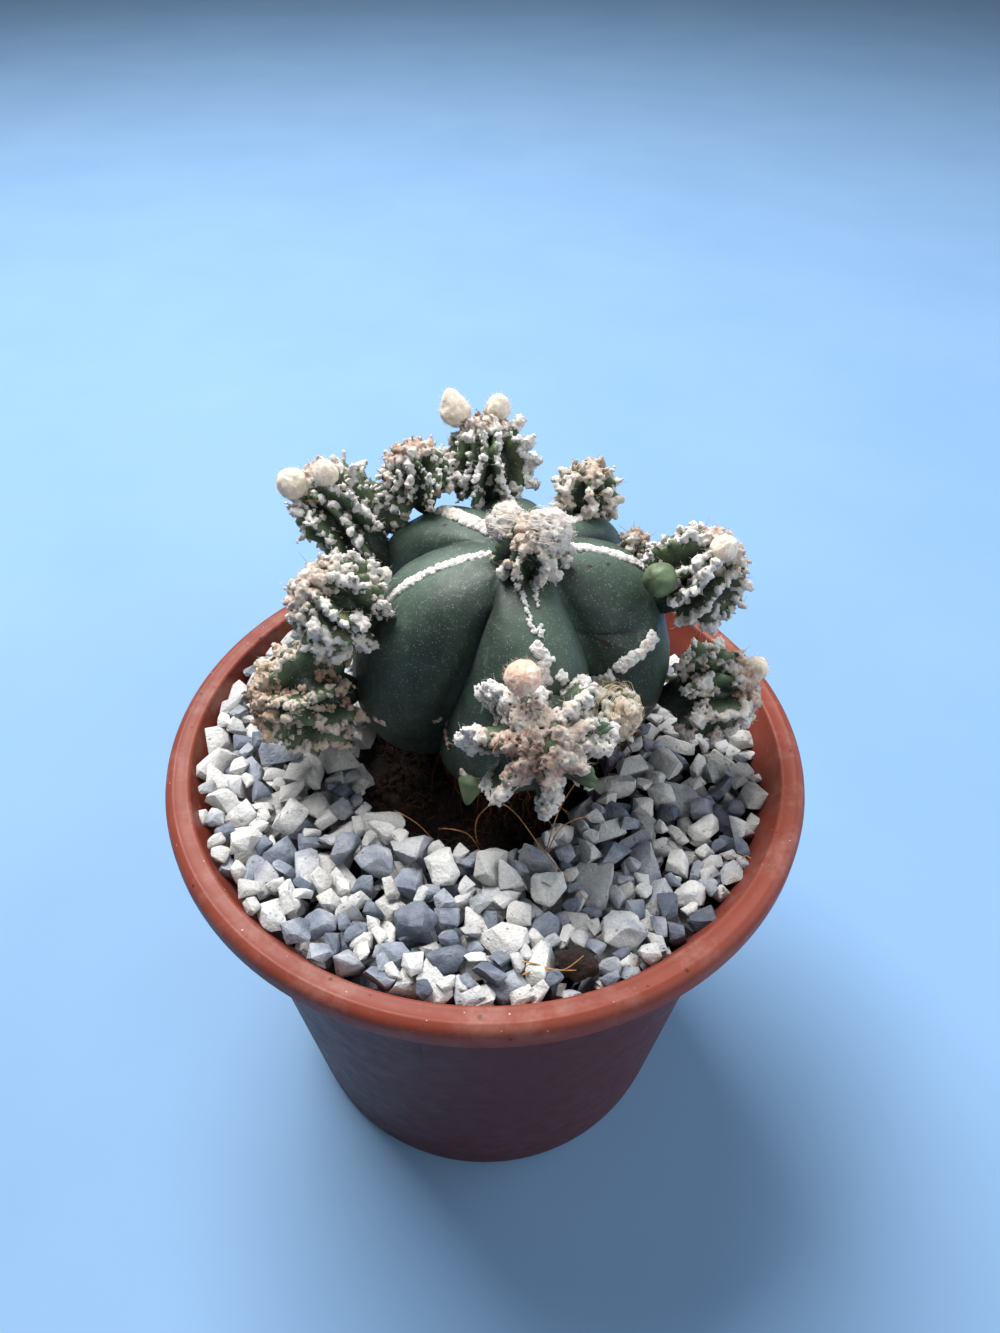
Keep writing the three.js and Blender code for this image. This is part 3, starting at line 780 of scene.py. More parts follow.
def hair_shapes():
    """Six bent hairs one millimetre long, each a thin three-sided spike."""
    shapes = []
    for number in range(6):
        bend = 0.15 + 0.12 * number
        heights = np.array([0, 0.5, 1.0])
        widths = np.array([0.02, 0.017, 0.004])
        sway = bend * heights**2
        turn = full_turn(3)
        rings = np.stack([
            sway[:, None] + widths[:, None] * np.cos(turn),
            widths[:, None] * np.sin(turn) + 0.08 * np.sin(heights * 4 + number)[:, None],
            np.repeat(heights[:, None], 3, axis=1) * (1 - 0.3 * bend),
        ], axis=-1)
        shapes.append(closed_rings("hair", rings))
    return shape_store("hair", shapes)


HAIR = hair_shapes()


# Pot

def wall_radius(height):
    return between(BASE_RADIUS, WALL_TOP_RADIUS, height / LIP_BOTTOM)


def inside_radius(height):
    """Inside of the pot's wall, a straight taper from the floor to the shoulder under the rim."""
    share = (height - FLOOR_TOP) / (SHOULDER - FLOOR_TOP)
    return between(BASE_RADIUS, wall_radius(SHOULDER), share) - WALL


def arc(centre, radius, start, end, steps):
    """Points of an arc in an outline of radius and height, with its ends in degrees."""
    turns = np.radians(np.linspace(start, end, steps))
    return [(centre[0] + radius * np.cos(turn), centre[1] + radius * np.sin(turn)) for turn in turns]


def pot_mesh():
    """Rolled lip with a fine bead on its edge, tapering wall, foot ring and floor."""
    around = 192
    bead = 0.55
    edge = RIM_RADIUS - LIP_ROUND
    outline = [
        (0.0, FOOT_HEIGHT),
        (BASE_RADIUS - FOOT_WIDTH - 0.5, FOOT_HEIGHT),
        *arc((BASE_RADIUS - FOOT_WIDTH + 0.4, 0.4), 0.4, 180, 270, 4),
        *arc((BASE_RADIUS - 0.8, 0.8), 0.8, 270, 355, 6),
        *[(wall_radius(height), height) for height in np.linspace(2.5, LIP_BOTTOM - 0.5, 24)],
        *arc((wall_radius(LIP_BOTTOM) + 0.5, LIP_BOTTOM - 0.5), 0.5, 180, 90, 5),
        *arc((RIM_RADIUS - 0.7, LIP_BOTTOM + 0.7), 0.7, 270, 360, 6),
        *arc((edge, POT_HEIGHT - LIP_ROUND), LIP_ROUND, 0, 62, 7),
        *arc((edge + 0.25, POT_HEIGHT - bead), bead, 50, 118, 6),
        (edge - 0.7, POT_HEIGHT - 0.12),
        (edge - 1.1, POT_HEIGHT - 0.1),
        *arc((RIM_INNER_RADIUS + 0.5, POT_HEIGHT - 0.55), 0.5, 90, 180, 5),
        (between(RIM_INNER_RADIUS, inside_radius(SHOULDER), 0.5), POT_HEIGHT - 3.2),
        *arc((inside_radius(SHOULDER) + 0.4, SHOULDER - 0.1), 0.4, 140, 180, 3),
        (inside_radius(40), 40),
        (inside_radius(FLOOR_TOP), FLOOR_TOP),
        (0.0, FLOOR_TOP),
    ]
    rings = level_rings(*np.array(outline).T, around)
    return new_mesh("pot", rings, ring_faces(len(outline), around))


def pad_mesh():
    """The raised pad under the lip, bent to the wall."""
    across = np.linspace(-PAD_WIDTH / 2, PAD_WIDTH / 2, 25)
    steps = [(PAD_TOP, -0.6), (PAD_TOP, PAD_PROUD), (PAD_TOP - 0.25, PAD_PROUD + 0.08),
             (PAD_TOP - PAD_HEIGHT + 0.3, PAD_PROUD), (PAD_TOP - PAD_HEIGHT, -0.6)]
    rows = []
    for height, proud in steps:
        reach = np.sqrt(wall_radius(height) ** 2 - across**2) + proud
        rows.append(np.stack([across, -reach, np.full_like(across, height)], axis=-1))
    rings = np.array(rows).transpose(1, 0, 2)
    count, around = rings.shape[:2]
    faces = ring_faces(count, around)
    faces.append(list(range(around)))
    faces.append(list(range(count * around - around, count * around))[::-1])
    mesh = new_mesh("pad", rings, faces)
    face_out(mesh)
    return mesh


def drill_meshes():
    """Drills for the drain holes: a ring of them, and one in the middle."""
    drills = []
    for hole in range(DRAIN_COUNT + 1):
        turn = 2 * np.pi * hole / DRAIN_COUNT
        reach = 0 if hole == DRAIN_COUNT else DRAIN_RING_RADIUS
        drill = bmesh.new()
        place = Matrix.Translation((reach * np.cos(turn), reach * np.sin(turn), FOOT_HEIGHT))
        bmesh.ops.create_cone(drill, segments=24, radius1=DRAIN_RADIUS, radius2=DRAIN_RADIUS, depth=8,
                              cap_ends=True, matrix=place)
        drills.append(block_mesh("drill", drill))
    return drills


def build_pot():
    pot = pot_mesh()
    face_out(pot, merged=1e-4)
    holder = new_object("pot_blank", pot)
    drill = new_object("drills", join_meshes("drills", drill_meshes()))
    cut = holder.modifiers.new("drain_holes", "BOOLEAN")
    cut.object = drill
    cut.solver = "EXACT"
    pot = plain_result(holder)
    bpy.data.objects.remove(drill)
    for name, mesh in (("pot_shell", pot), ("pot_pad", pad_mesh())):
        crisp(mesh)
        finish_piece(name, mesh, ["pot"], "pot")


# Stem

def along_share(angles, share):
    """Where a furrow runs, in degrees, at a share of the outline."""
    return np.interp(share, FURROW_SHARES, angles)


def ribs_in_turn():
    """Each rib, the one after it, and the angle of that one's crest, counted on past 360."""
    for index, rib in enumerate(RIBS):
        after = RIBS[(index + 1) % len(RIBS)]
        yield rib, after, after["crest"] + (360 if index == len(RIBS) - 1 else 0)


def rib_reach(angle, share):
    """How far the stem reaches at an angle, in degrees, and a share of its outline."""
    angle = np.mod(angle, 360)
    turn = np.where(angle < RIBS[0]["crest"], angle + 360, angle)
    ribbed = np.zeros(np.broadcast(angle, share).shape)
    for rib, after, next_crest in ribs_in_turn():
        furrow = along_share(rib["furrow"], share)
        spread = np.radians(next_crest - rib["crest"])
        depth = RIB_DEPTH * min(1, CLOSE_RIB_DEPTH + spread * DEPTH_BY_SPREAD)
        low = (rib["reach"] + after["reach"]) / 2 * (1 - depth)
        sides = [(rib["crest"], rib["reach"], turn <= furrow), (next_crest, after["reach"], turn > furrow)]
        inside = (turn >= rib["crest"]) & (turn <= next_crest)
        for crest, reach, side in sides:
            width = np.abs(furrow - crest)
            along = np.clip(np.abs(turn - crest) / width, 0, 1)
            fall = 0.25 * along + 0.75 * along**RIB_DROP
            bulge = RIB_BULGE * np.minimum(1, np.radians(width) / FULL_BULGE_WIDTH)
            from_furrow = np.radians(width) * reach * (1 - along)
            crease = CREASE_DEPTH * hill(from_furrow, CREASE_WIDTH)
            value = between(reach, low, fall) + reach * bulge * np.sin(np.pi * along) - crease
            ribbed = np.where(inside & side, value, ribbed)
    full = smooth(0.02, 0.3, share) * (1 - 0.45 * smooth(0.72, 1, share))
    return between(CROWN_RADIUS, ribbed, full)


def to_line(angle, share, line):
    """Distance in millimetres, over the skin, to a line through (angle, share) nodes."""
    stretch = np.array([0.3, 62.0])
    here = np.stack(np.broadcast_arrays(angle, share), axis=-1) * stretch
    nearest = np.full(here.shape[:-1], 99.0)
    for start, end in zip(line[:-1], line[1:]):
        start, end = np.array(start) * stretch, np.array(end) * stretch
        way = end - start
        along = np.clip(((here - start) @ way) / (way @ way), 0, 1)[..., None]
        nearest = np.minimum(nearest, np.linalg.norm(here - start - along * way, axis=-1))
    return nearest


# Small forms at the lower right of the stem, as lines of (angle, share) nodes
SIDE_RIB = [(337, 0.375), (329, 0.388), (321, 0.41), (316, 0.455)]
SIDE_CREASE = [(311, 0.352), (320, 0.345), (330, 0.352)]
SIDE_SWELL = [(317, 0.385), (320, 0.405)]

# How far each of them stands out, and how wide it is
SIDE_FORMS = [(SIDE_RIB, 1.1, 1.5), (SIDE_SWELL, 0.9, 2.6), (SIDE_CREASE, -0.7, 0.45)]


def stem_points(angle, share):
    """Points of the stem's skin, with the small side rib and its crease at the lower right."""
    outline = curve_through(STEM_OUTLINE, share)
    reach = rib_reach(angle, share) * outline[..., 0]
    turned = np.mod(angle, 360)
    for line, proud, width in SIDE_FORMS:
        reach = reach + proud * hill(to_line(turned, share, line), width)
    height = outline[..., 1]
    rise = ((height - STEM_FOOT[2]) / (STEM_TOP[2] - STEM_FOOT[2]))[..., None]
    axis = between(STEM_FOOT[:2], STEM_TOP[:2], rise)
    turn = np.radians(angle)
    flat = axis + np.stack([reach * np.cos(turn), reach * np.sin(turn)], axis=-1)
    return np.concatenate([flat, np.broadcast_to(height, reach.shape)[..., None]], axis=-1)


def stem_out(angle, share):
    """The way that the skin faces."""
    step = 0.004
    side = stem_points(angle + 0.5, share) - stem_points(angle - 0.5, share)
    down = stem_points(angle, share + step) - stem_points(angle, share - step)
    out = unit(np.cross(down, side))
    away = stem_points(angle, share) - (STEM_FOOT + STEM_TOP) / 2
    return np.where((out * away).sum(-1, keepdims=True) < 0, -out, out)


# Scars on the skin: angle, share of the outline, and size
SCARS = [(318, 0.364, 0.7), (342, 0.178, 0.5), (146.5, 0.219, 0.5), (352, 0.21, 0.3), (150, 0.26, 0.35)]


def build_stem():
    share = np.linspace(0.004, 0.96, STEM_ROWS)[:, None]
    steps = np.arange(RIB_STEPS) / RIB_STEPS
    columns = []
    for rib, _, next_crest in ribs_in_turn():
        furrow = along_share(rib["furrow"], share)
        columns += [between(rib["crest"], furrow, steps), between(furrow, next_crest, steps)]
    angle = np.concatenate(columns, axis=1)
    share = np.broadcast_to(share, angle.shape)
    rings = stem_points(angle, share)
    out = unit(rings - (STEM_FOOT + STEM_TOP) / 2)
    swell = 0.22 * lumps(rings, 5.0, 3) + 0.07 * lumps(rings, 1.6, 4)
    cork = smooth(0.66, 0.8, share + 0.05 * lumps(rings, 4.0, 5))
    swell = swell + cork * (0.55 * lumps(rings, 1.3, 6) + 0.3 * lumps(rings, 0.6, 7))
    mesh = closed_rings("stem", rings + out * swell[..., None])
    scar = np.zeros(angle.shape)
    for scar_angle, scar_share, size in SCARS:
        place = stem_points(np.array(float(scar_angle)), np.array(scar_share))
        scar = np.maximum(scar, hill(np.linalg.norm(rings - place, axis=-1), size))
    # Painted shade: a dark line is painted along the side crease, held in the same value as the real scars.
    from_crease = to_line(np.mod(angle, 360), share, SIDE_CREASE)
    scar = np.maximum(scar, 0.8 * hill(from_crease, 0.35))
    # Painted light and shade: each rib's crest is painted lighter and the furrows between the ribs darker.
    crest = np.zeros(angle.shape)
    for rib in RIBS:
        turn = np.abs(np.mod(angle - rib["crest"] + 180, 360) - 180)
        crest = np.maximum(crest, 0.2 * hill(turn, 12) + 0.5 * hill(turn, 34) - 0.2)
    paint_rings(mesh, angle.shape, cork=cork, scar=scar, crest=crest)
    finish_piece("stem_body", mesh, ["stem"], "stem_skin")


def crumb_shapes(name, count, unevenness):
    """Small uneven crumbs about one millimetre across."""
    shapes = []
    for number in range(count):
        crumb = bmesh.new()
        bmesh.ops.create_icosphere(crumb, subdivisions=1, radius=0.5)
        spots = np.array([corner.co for corner in crumb.verts])
        spots *= np.random.default_rng(number).uniform(0.65, 1.15, 3)
        spots *= 1 + unevenness * lumps(spots, 0.4, 50 + number)[:, None]
        for corner, spot in zip(crumb.verts, spots):
            corner.co = spot
        mesh = block_mesh("crumb", crumb)
        mesh.shade_smooth()
        shapes.append(mesh)
    return shape_store(name, shapes)


def felt_wool(spots, thickness, tone, gold, voxel=0.29, crumb=0.4, fluff=0.35):
    """Wool felted from crumbs at spots; thickness, tone and gold are given for each crumb."""
    cloud = new_mesh("crumbs", spots, [])
    for name, given in (("thickness", thickness), ("tone", tone), ("gold", gold)):
        paint(cloud, name, np.broadcast_to(given, len(spots)))
    values = {"Voxel": voxel, "Crumb Depth": crumb, "Fluff Depth": fluff, "Material": FINISHES["wool"]}
    return run_tree(FELT, cloud, values)


def grow_hairs(surface, density, shortest, longest, lean, seed, finish):
    values = {
        "Shapes": HAIR, "Density": density, "Shortest": shortest, "Longest": longest, "Lean": lean,
        "Seed": seed, "Material": FINISHES[finish],
    }
    return run_tree(HAIRS, surface.copy(), values)


# Lines of felt on the rib crests and flakes of it low down: nodes of (angle, share), half width,
# tone, and how much of the line is there, from 1 for a whole line to 0 for none
FELT_LINES = [
    {"line": [(187, 0.05), (191, 0.12), (192.5, 0.19), (192, 0.25), (190.5, 0.31), (189, 0.39)],
     "half": 0.5, "tone": 0.05, "whole": 1.0},
    {"line": [(6, 0.05), (8, 0.14), (6.3, 0.2), (6.8, 0.25), (7.2, 0.33), (7.4, 0.4)],
     "half": 0.52, "tone": 0.08, "whole": 1.0},
    {"line": [(136, 0.05), (136.5, 0.15), (136, 0.2), (133, 0.26)], "half": 0.75, "tone": 0.22, "whole": 1.0},
    {"line": [(98, 0.05), (98, 0.3)], "half": 0.5, "tone": 0.1, "whole": 1.0},
    {"line": [(52, 0.05), (50, 0.22)], "half": 0.5, "tone": 0.15, "whole": 0.9},
    {"line": [(264, 0.14), (267, 0.182), (270, 0.214), (273, 0.247), (275, 0.27)],
     "half": 0.3, "tone": 0.05, "whole": 0.72},
    {"line": [(275, 0.14), (278, 0.19), (279, 0.25), (278.5, 0.28)], "half": 0.28, "tone": 0.1, "whole": 0.6},
    {"line": [(275.5, 0.295), (278, 0.31), (282, 0.33)], "half": 0.6, "tone": 0.02, "whole": 1.0},
    {"line": [(279, 0.33), (281, 0.37)], "half": 0.5, "tone": 0.3, "whole": 0.7},
    {"line": [(286, 0.355), (289, 0.37)], "half": 0.5, "tone": 0.1, "whole": 1.0},
    {"line": [(336, 0.37), (329, 0.385), (322, 0.4), (319, 0.425), (315, 0.465)],
     "half": 0.6, "tone": 0.22, "whole": 0.75},
    {"line": [(203, 0.585), (207, 0.582)], "half": 0.5, "tone": 0.5, "whole": 1.0},
    {"line": [(211, 0.565), (215, 0.562)], "half": 0.38, "tone": 0.5, "whole": 0.9},
    {"line": [(228, 0.555), (236, 0.562), (244, 0.566)], "half": 0.3, "tone": 0.6, "whole": 0.55},
    {"line": [(252, 0.6), (262, 0.615)], "half": 0.45, "tone": 0.4, "whole": 0.6},
]
FELT_SPACING = 0.16


def build_felt_lines():
    """White felt on the crests, beaded on the front rib, and flakes of old felt low down."""
    random = np.random.default_rng(11)
    spots, thickness, tone = [], [], []
    for felt in FELT_LINES:
        nodes = np.array(felt["line"], float)
        ends = stem_points(nodes[:, 0], nodes[:, 1])
        length = np.linalg.norm(np.diff(ends, axis=0), axis=-1).sum()
        count = int(length / FELT_SPACING) + 2
        place = curve_through(nodes, np.linspace(0, 1, count))
        centre = stem_points(place[:, 0], place[:, 1])
        out = stem_out(place[:, 0], place[:, 1])
        side = unit(np.cross(out, np.gradient(centre, axis=0) + 1e-6))
        gaps = lumps(centre, 1.7, 21) * 0.5 + 0.5
        for _ in range(3):
            sway = random.uniform(-1, 1, (count, 1)) * felt["half"]
            kept = gaps < felt["whole"] * random.uniform(0.92, 1.1, count)
            size = felt["half"] * random.uniform(0.45, 0.75, count)
            lift = 0.1 - 0.3 * (sway / felt["half"]) ** 2 * felt["half"]
            spots.append((centre + side * sway + out * lift)[kept])
            thickness.append(size[kept])
            tone.append((felt["tone"] + random.normal(0, 0.08, count))[kept])
    spots, thickness, tone = map(np.concatenate, (spots, thickness, tone))
    mesh = felt_wool(spots, thickness, tone, 0.0, voxel=0.19, crumb=0.2, fluff=0.2)
    hairs = grow_hairs(mesh, 1.7, 0.25, 0.6, 1.2, 5, "hair")
    finish_piece("felt_lines", mesh)
    finish_piece("felt_hairs", hairs)


# Heads

def head_axes(faces):
    """Across, up and out of a head, as seen by someone it faces."""
    out = unit(faces)
    upward = (0, 0, 1) if abs(out[2]) < 0.99 else (0, 1, 0)
    across = unit(np.cross(upward, out))
    return np.stack([across, np.cross(out, across), out])


WOOL_CRUMB_KINDS = 10
WOOL_CRUMBS = crumb_shapes("wool_crumb", WOOL_CRUMB_KINDS, 0.6)

# Offsets: centre, size, the way each one faces, how flat it is, how many ridges it has and how
# thick they are, how much of them is woolly, how long their tufts are, the wool's tone and gold,
# the spacing of the warts, and a seed
HEADS = [
    {"name": "crown_head", "at": (5.1, 2.3, 96.0), "size": 4.6, "faces": (0, -0.25, 1), "flat": 1,
     "ridges": 10, "half": 0.6, "cover": 0.6, "tuft": 0.4, "tone": 0.12, "gold": 0.2, "spacing": 1.6,
     "seed": 1},
    {"name": "offset_front_right", "at": (15.3, -8.7, 80.7), "size": 3.1, "faces": (0.6, -0.6, 0.5),
     "flat": 1, "ridges": 9, "half": 0.6, "cover": 1.4, "tuft": 0.2, "tone": 0.0, "gold": 0.4,
     "spacing": 1.2, "locks": 260, "seed": 2},
    {"name": "offset_left_upper", "at": (-17.9, 1.5, 88.3), "size": 6.3, "faces": (-0.72, -0.15, 0.68),
     "flat": 0.95, "ridges": 13, "half": 0.75, "cover": 0.72, "tuft": 0.5, "tone": 0.04, "gold": 0.15,
     "spacing": 2.2, "seed": 3},
    {"name": "offset_left_lower", "at": (-23, -1.5, 75.9), "size": 7.1, "faces": (-0.92, -0.35, 0.15),
     "flat": 0.95, "ridges": 9, "half": 0.95, "cover": 0.58, "tuft": 0.4, "tone": 0.3, "gold": 0.35,
     "spacing": 3.0, "seed": 4},
    {"name": "offset_back_left_outer", "at": (-20.2, 18.8, 90.2), "size": 6.2, "faces": (-0.7, 0.4, 0.6),
     "flat": 1, "ridges": 10, "half": 0.9, "cover": 0.5, "tuft": 1.3, "tone": 0.0, "gold": 0.0,
     "spacing": 2.6, "foot": 2.3, "seed": 5},
    {"name": "offset_back_left_middle", "at": (-9.5, 20, 94.9), "size": 5.0, "faces": (-0.25, 0.3, 0.92),
     "flat": 0.9, "ridges": 15, "half": 0.5, "cover": 0.64, "tuft": 0.8, "tone": 0.08, "gold": 0.05,
     "spacing": 1.9, "seed": 6},
    {"name": "offset_back_left_inner", "at": (-0.3, 25, 94.1), "size": 6.1, "faces": (0, 0.4, 0.9),
     "flat": 1, "ridges": 13, "half": 0.7, "cover": 0.52, "tuft": 1.3, "tone": 0.0, "gold": 0.0,
     "spacing": 2.4, "seed": 7},
    {"name": "offset_back_right", "at": (12.5, 17, 94.9), "size": 3.9, "faces": (0.1, 0.15, 0.98),
     "flat": 1, "ridges": 9, "half": 0.6, "cover": 0.8, "tuft": 0.8, "tone": 0.12, "gold": 0.25,
     "spacing": 1.8, "seed": 8},
    {"name": "offset_right_back", "at": (18.8, 12, 90.3), "size": 1.9, "faces": (0.5, 0.4, 0.8),
     "flat": 1, "ridges": 7, "half": 0.4, "cover": 1.3, "tuft": 0.3, "tone": 0.3, "gold": 0.0,
     "spacing": 1.2, "seed": 9},
    {"name": "offset_right_upper", "at": (25.3, 4.5, 90.9), "size": 6.1, "faces": (0.75, 0.05, 0.66),
     "flat": 1, "ridges": 12, "half": 0.75, "cover": 0.74, "tuft": 0.6, "tone": 0.0, "gold": 0.1,
     "spacing": 2.0, "seed": 10},
    {"name": "offset_right_lower", "at": (28.8, 0.5, 75.4), "size": 6.5, "faces": (0.95, -0.1, 0.3),
     "flat": 0.95, "ridges": 8, "half": 0.95, "cover": 0.5, "tuft": 0.35, "tone": 0.1, "gold": 0.05,
     "spacing": 2.8, "seed": 11},
]

# The front offset is a star: the angle of each arm as seen from the front, its reach and half
# width, and the side that its wool is on, with -1 for clockwise and 0 for all over
FRONT_HEAD = {
    "name": "offset_front", "at": (6.6, -15, 82.6), "size": 9.6, "faces": (0, -0.74, 0.68), "flat": 0.55,
    "arms": [
        (0, 0.8, 1.2, 0), (17, 0.82, 0.8, 2), (52, 0.86, 1.2, -1), (104, 0.6, 1.1, 0),
        (136, 0.9, 1.3, 1), (181, 0.94, 1.2, 1), (226, 0.88, 1.3, 1), (280, 0.84, 1.2, 1),
        (324, 0.8, 1.1, 2),
    ],
    "cover": 0.9, "tuft": 0.3, "tone": 0.06, "gold": 0.05, "spacing": 2.8, "seed": 12,
}

# How far the skin reaches between a head's ridges, as a share of its size, how far the warts
# stand out, how many spots of wool are tried on a head of size 1, the share of them with a loose
# crumb on top, and how far long hair lies off a head's skin
HEAD_CORE = 0.56
WART_DEPTH = 0.07
WOOL_SPOTS = 34
LOOSE_SHARE = 0.12
LOCK_LIFT = 0.35


def plan_arms(head, random):
    """Angle, reach, half width, wool side, end and phase of the warts of each ridge of a head."""
    if "arms" in head:
        angles, reaches, halves, sides = np.array(head["arms"], float).T
        angles = np.radians(angles)
        ends = np.full(len(angles), 2.0)
    else:
        count = head["ridges"]
        angles = (np.arange(count) + random.uniform(-0.25, 0.25, count)) * 2 * np.pi / count
        reaches = random.uniform(0.86, 1.06, count)
        halves = head["half"] * random.uniform(0.85, 1.2, count)
        sides = random.choice([-1, 0, 1], count)
        ends = random.uniform(1.65, 2.3, count)
    phases = random.uniform(0, 2 * np.pi, len(angles))
    return {"angle": angles, "reach": reaches, "half": halves, "side": sides, "end": ends, "phase": phases}


def ridge_sway(arms, tilt):
    """How far each ridge wanders off its straight way from the growing point."""
    return 0.13 * np.sin(3.1 * tilt + arms["phase"]) * np.minimum(tilt, 1)


def head_points(head, arms, around, tilt):
    """Points of a head's ridged and warty body at angles round and away from its axis, how much
    of a ridge is there, how far it stands out as a wart, and how readily wool grows there."""
    around, tilt = np.broadcast_arrays(np.asarray(around, float), np.asarray(tilt, float))
    wide = tilt[..., None]
    gap = np.mod(around[..., None] - arms["angle"] - ridge_sway(arms, wide) + np.pi, 2 * np.pi) - np.pi
    level = np.sin(wide)
    spread = gap * np.maximum(level, 0.12) * head["size"] / arms["half"]
    blade = np.exp(-(np.abs(spread) ** 2.4)) * smooth(arms["end"] + 0.35, arms["end"], wide)
    wart = np.cos(2 * np.pi * wide * head["size"] / head["spacing"] + arms["phase"])
    reach = between(1, arms["reach"], level) * (1 + WART_DEPTH * wart * level)
    core = between(HEAD_CORE, 0.9, 1 - np.minimum(1, level * 1.4))
    radius = head["size"] * (core + (reach - core) * blade).max(axis=-1)
    flat = np.where(tilt < np.pi / 2, head["flat"], head.get("foot", 1.3 * head["flat"]))
    local = np.stack([
        radius * np.sin(tilt) * np.cos(around), radius * np.sin(tilt) * np.sin(around),
        radius * np.cos(tilt) * flat,
    ], axis=-1)
    side = arms["side"]
    tip = smooth(arms["end"] - 0.5, arms["end"] - 0.1, wide)
    one_sided = 1.2 * np.clip(spread * side + 0.2, -1, 0.25)
    pull = np.where(np.abs(side) == 1, one_sided, np.where(side == 2, -0.9, 0.1))
    pull = pull * (1 - tip) + 0.25 * tip
    best = blade.argmax(axis=-1)[..., None]
    wart, pull = (np.take_along_axis(np.broadcast_to(value, blade.shape), best, axis=-1)[..., 0]
                  for value in (wart, pull))
    return local @ head_axes(head["faces"]) + np.array(head["at"]), blade.max(axis=-1), wart, pull


def head_body(head, arms):
    rows, columns = 40, 96
    tilt = np.linspace(0.02, np.pi - 0.02, rows)[:, None]
    around = full_turn(columns)[None, :]
    points, blade = head_points(head, arms, around, tilt)[:2]
    out = unit(points - np.array(head["at"]))
    swell = 0.16 * lumps(points, 1.4, head["seed"]) + 0.07 * lumps(points, 0.6, head["seed"])
    mesh = closed_rings(head["name"], points + out * swell[..., None])
    # The cork value here paints brown at the growing point, standing for brown wool with painted shade
    # between its crumbs, and a little cork brown at the foot.
    brown = smooth(2.3, 2.9, tilt) * 0.35 + smooth(0.6, 0.3, tilt) * 0.5
    # Painted light and shade: crest makes the ridges lighter and the valleys between them darker.
    paint_rings(mesh, blade.shape, crest=blade * 0.75 - 0.25, cork=brown, scar=0)
    return mesh


def head_spines(head, arms, random):
    """Thin golden spines at the ridges' warts."""
    lines, widths = [], []
    centre = np.array(head["at"])
    for angle in arms["angle"]:
        for tilt in random.uniform(0.5, 1.75, 2):
            start = head_points(head, arms, angle, tilt)[0]
            way = unit(unit(start - centre) + random.normal(0, 0.45, 3))
            bend = random.normal(0, 0.12, 3)
            length = random.uniform(1.0, 2.4)
            steps = np.linspace(0, 1, 5)[:, None]
            lines.append(start + way * length * steps + bend * length * steps**2)
            widths.append(between(0.045, 0.012, steps[:, 0]))
    return draw_threads(lines, widths, "spine", 4)


def scatter_crumbs(spots, sizes, tones, gold, random):
    """Crumbs of wool at spots, each turned its own way."""
    count = len(spots)
    turns = random.uniform(0, 2 * np.pi, (count, 3))
    shape = sizes[:, None] * random.uniform(0.75, 1.25, (count, 3))
    picks = random.integers(0, WOOL_CRUMB_KINDS, count)
    return set_copies(spots, picks, turns, shape, WOOL_CRUMBS, "wool", tone=tones, gold=np.full(count, gold))


def head_wool(head, arms, random):
    """Wool over the ridges, their tips and the growing point: chains of three spots that stand
    out of the skin, how thick each one is, its tone, and the way out."""
    count = int(WOOL_SPOTS * head["size"] ** 2)
    group = random.uniform(0, 1, count)
    on_ridge, at_pole = group < 0.55, group > 0.85
    arm = random.integers(0, len(arms["angle"]), count)
    ridge_tilt = 0.3 + (arms["end"][arm] - 0.15) * random.uniform(0, 1, count) ** 0.8
    tilt = np.where(on_ridge, ridge_tilt, np.arccos(1 - 1.75 * random.uniform(0, 1, count)))
    tilt = np.where(at_pole, 0.7 * np.sqrt(random.uniform(0, 1, count)), tilt)
    sway = np.take_along_axis(ridge_sway(arms, tilt[:, None]), arm[:, None], axis=1)[:, 0]
    ring_radius = np.maximum(np.sin(tilt), 0.25) * head["size"]
    offset = random.normal(0, 0.6, count) * arms["half"][arm] / ring_radius
    around = np.where(on_ridge, arms["angle"][arm] + sway + offset, random.uniform(0, 2 * np.pi, count))
    surface, blade, wart, pull = head_points(head, arms, around, tilt)
    out = unit(surface - np.array(head["at"]))
    pole = smooth(1.0, 0.45, tilt)
    patch = 0.5 + 0.5 * lumps(surface, 1.9, head["seed"]) + 0.2 * lumps(surface, 0.9, head["seed"] + 1)
    kept = patch < head["cover"] * (0.35 + 0.65 * blade) + pull * (1 - pole) + 0.6 * pole
    length = head["tuft"] * smooth(0.1, 0.9, wart) * blade * random.uniform(0.2, 1, count)
    lift = random.uniform(-0.15, 0.25, count)[:, None] + length[:, None] * np.array([0, 0.5, 1])
    chain = surface[:, None] + out[:, None] * lift[..., None] + random.normal(0, 0.07, (count, 3, 3))
    clump = 1 + 0.45 * lumps(surface, 1.1, head["seed"] + 2)
    thickness = (random.uniform(0.24, 0.46, count) * clump)[:, None] * np.array([1, 0.95, 0.9])
    # The growing point is toned pinkish tan, the wool's own colour there. Wool off the ridges is toned darker
    # as painted shade between them, and the wool grows darker towards the foot.
    tone = head["tone"] + 0.4 * pole + 0.22 * (1 - blade) + 0.25 * smooth(1.7, 2.4, tilt)
    tone = tone + 0.22 * lumps(surface, 3.0, head["seed"] + 3) + random.normal(0, 0.07, count)
    return chain[kept], thickness[kept], tone[kept], out[kept]


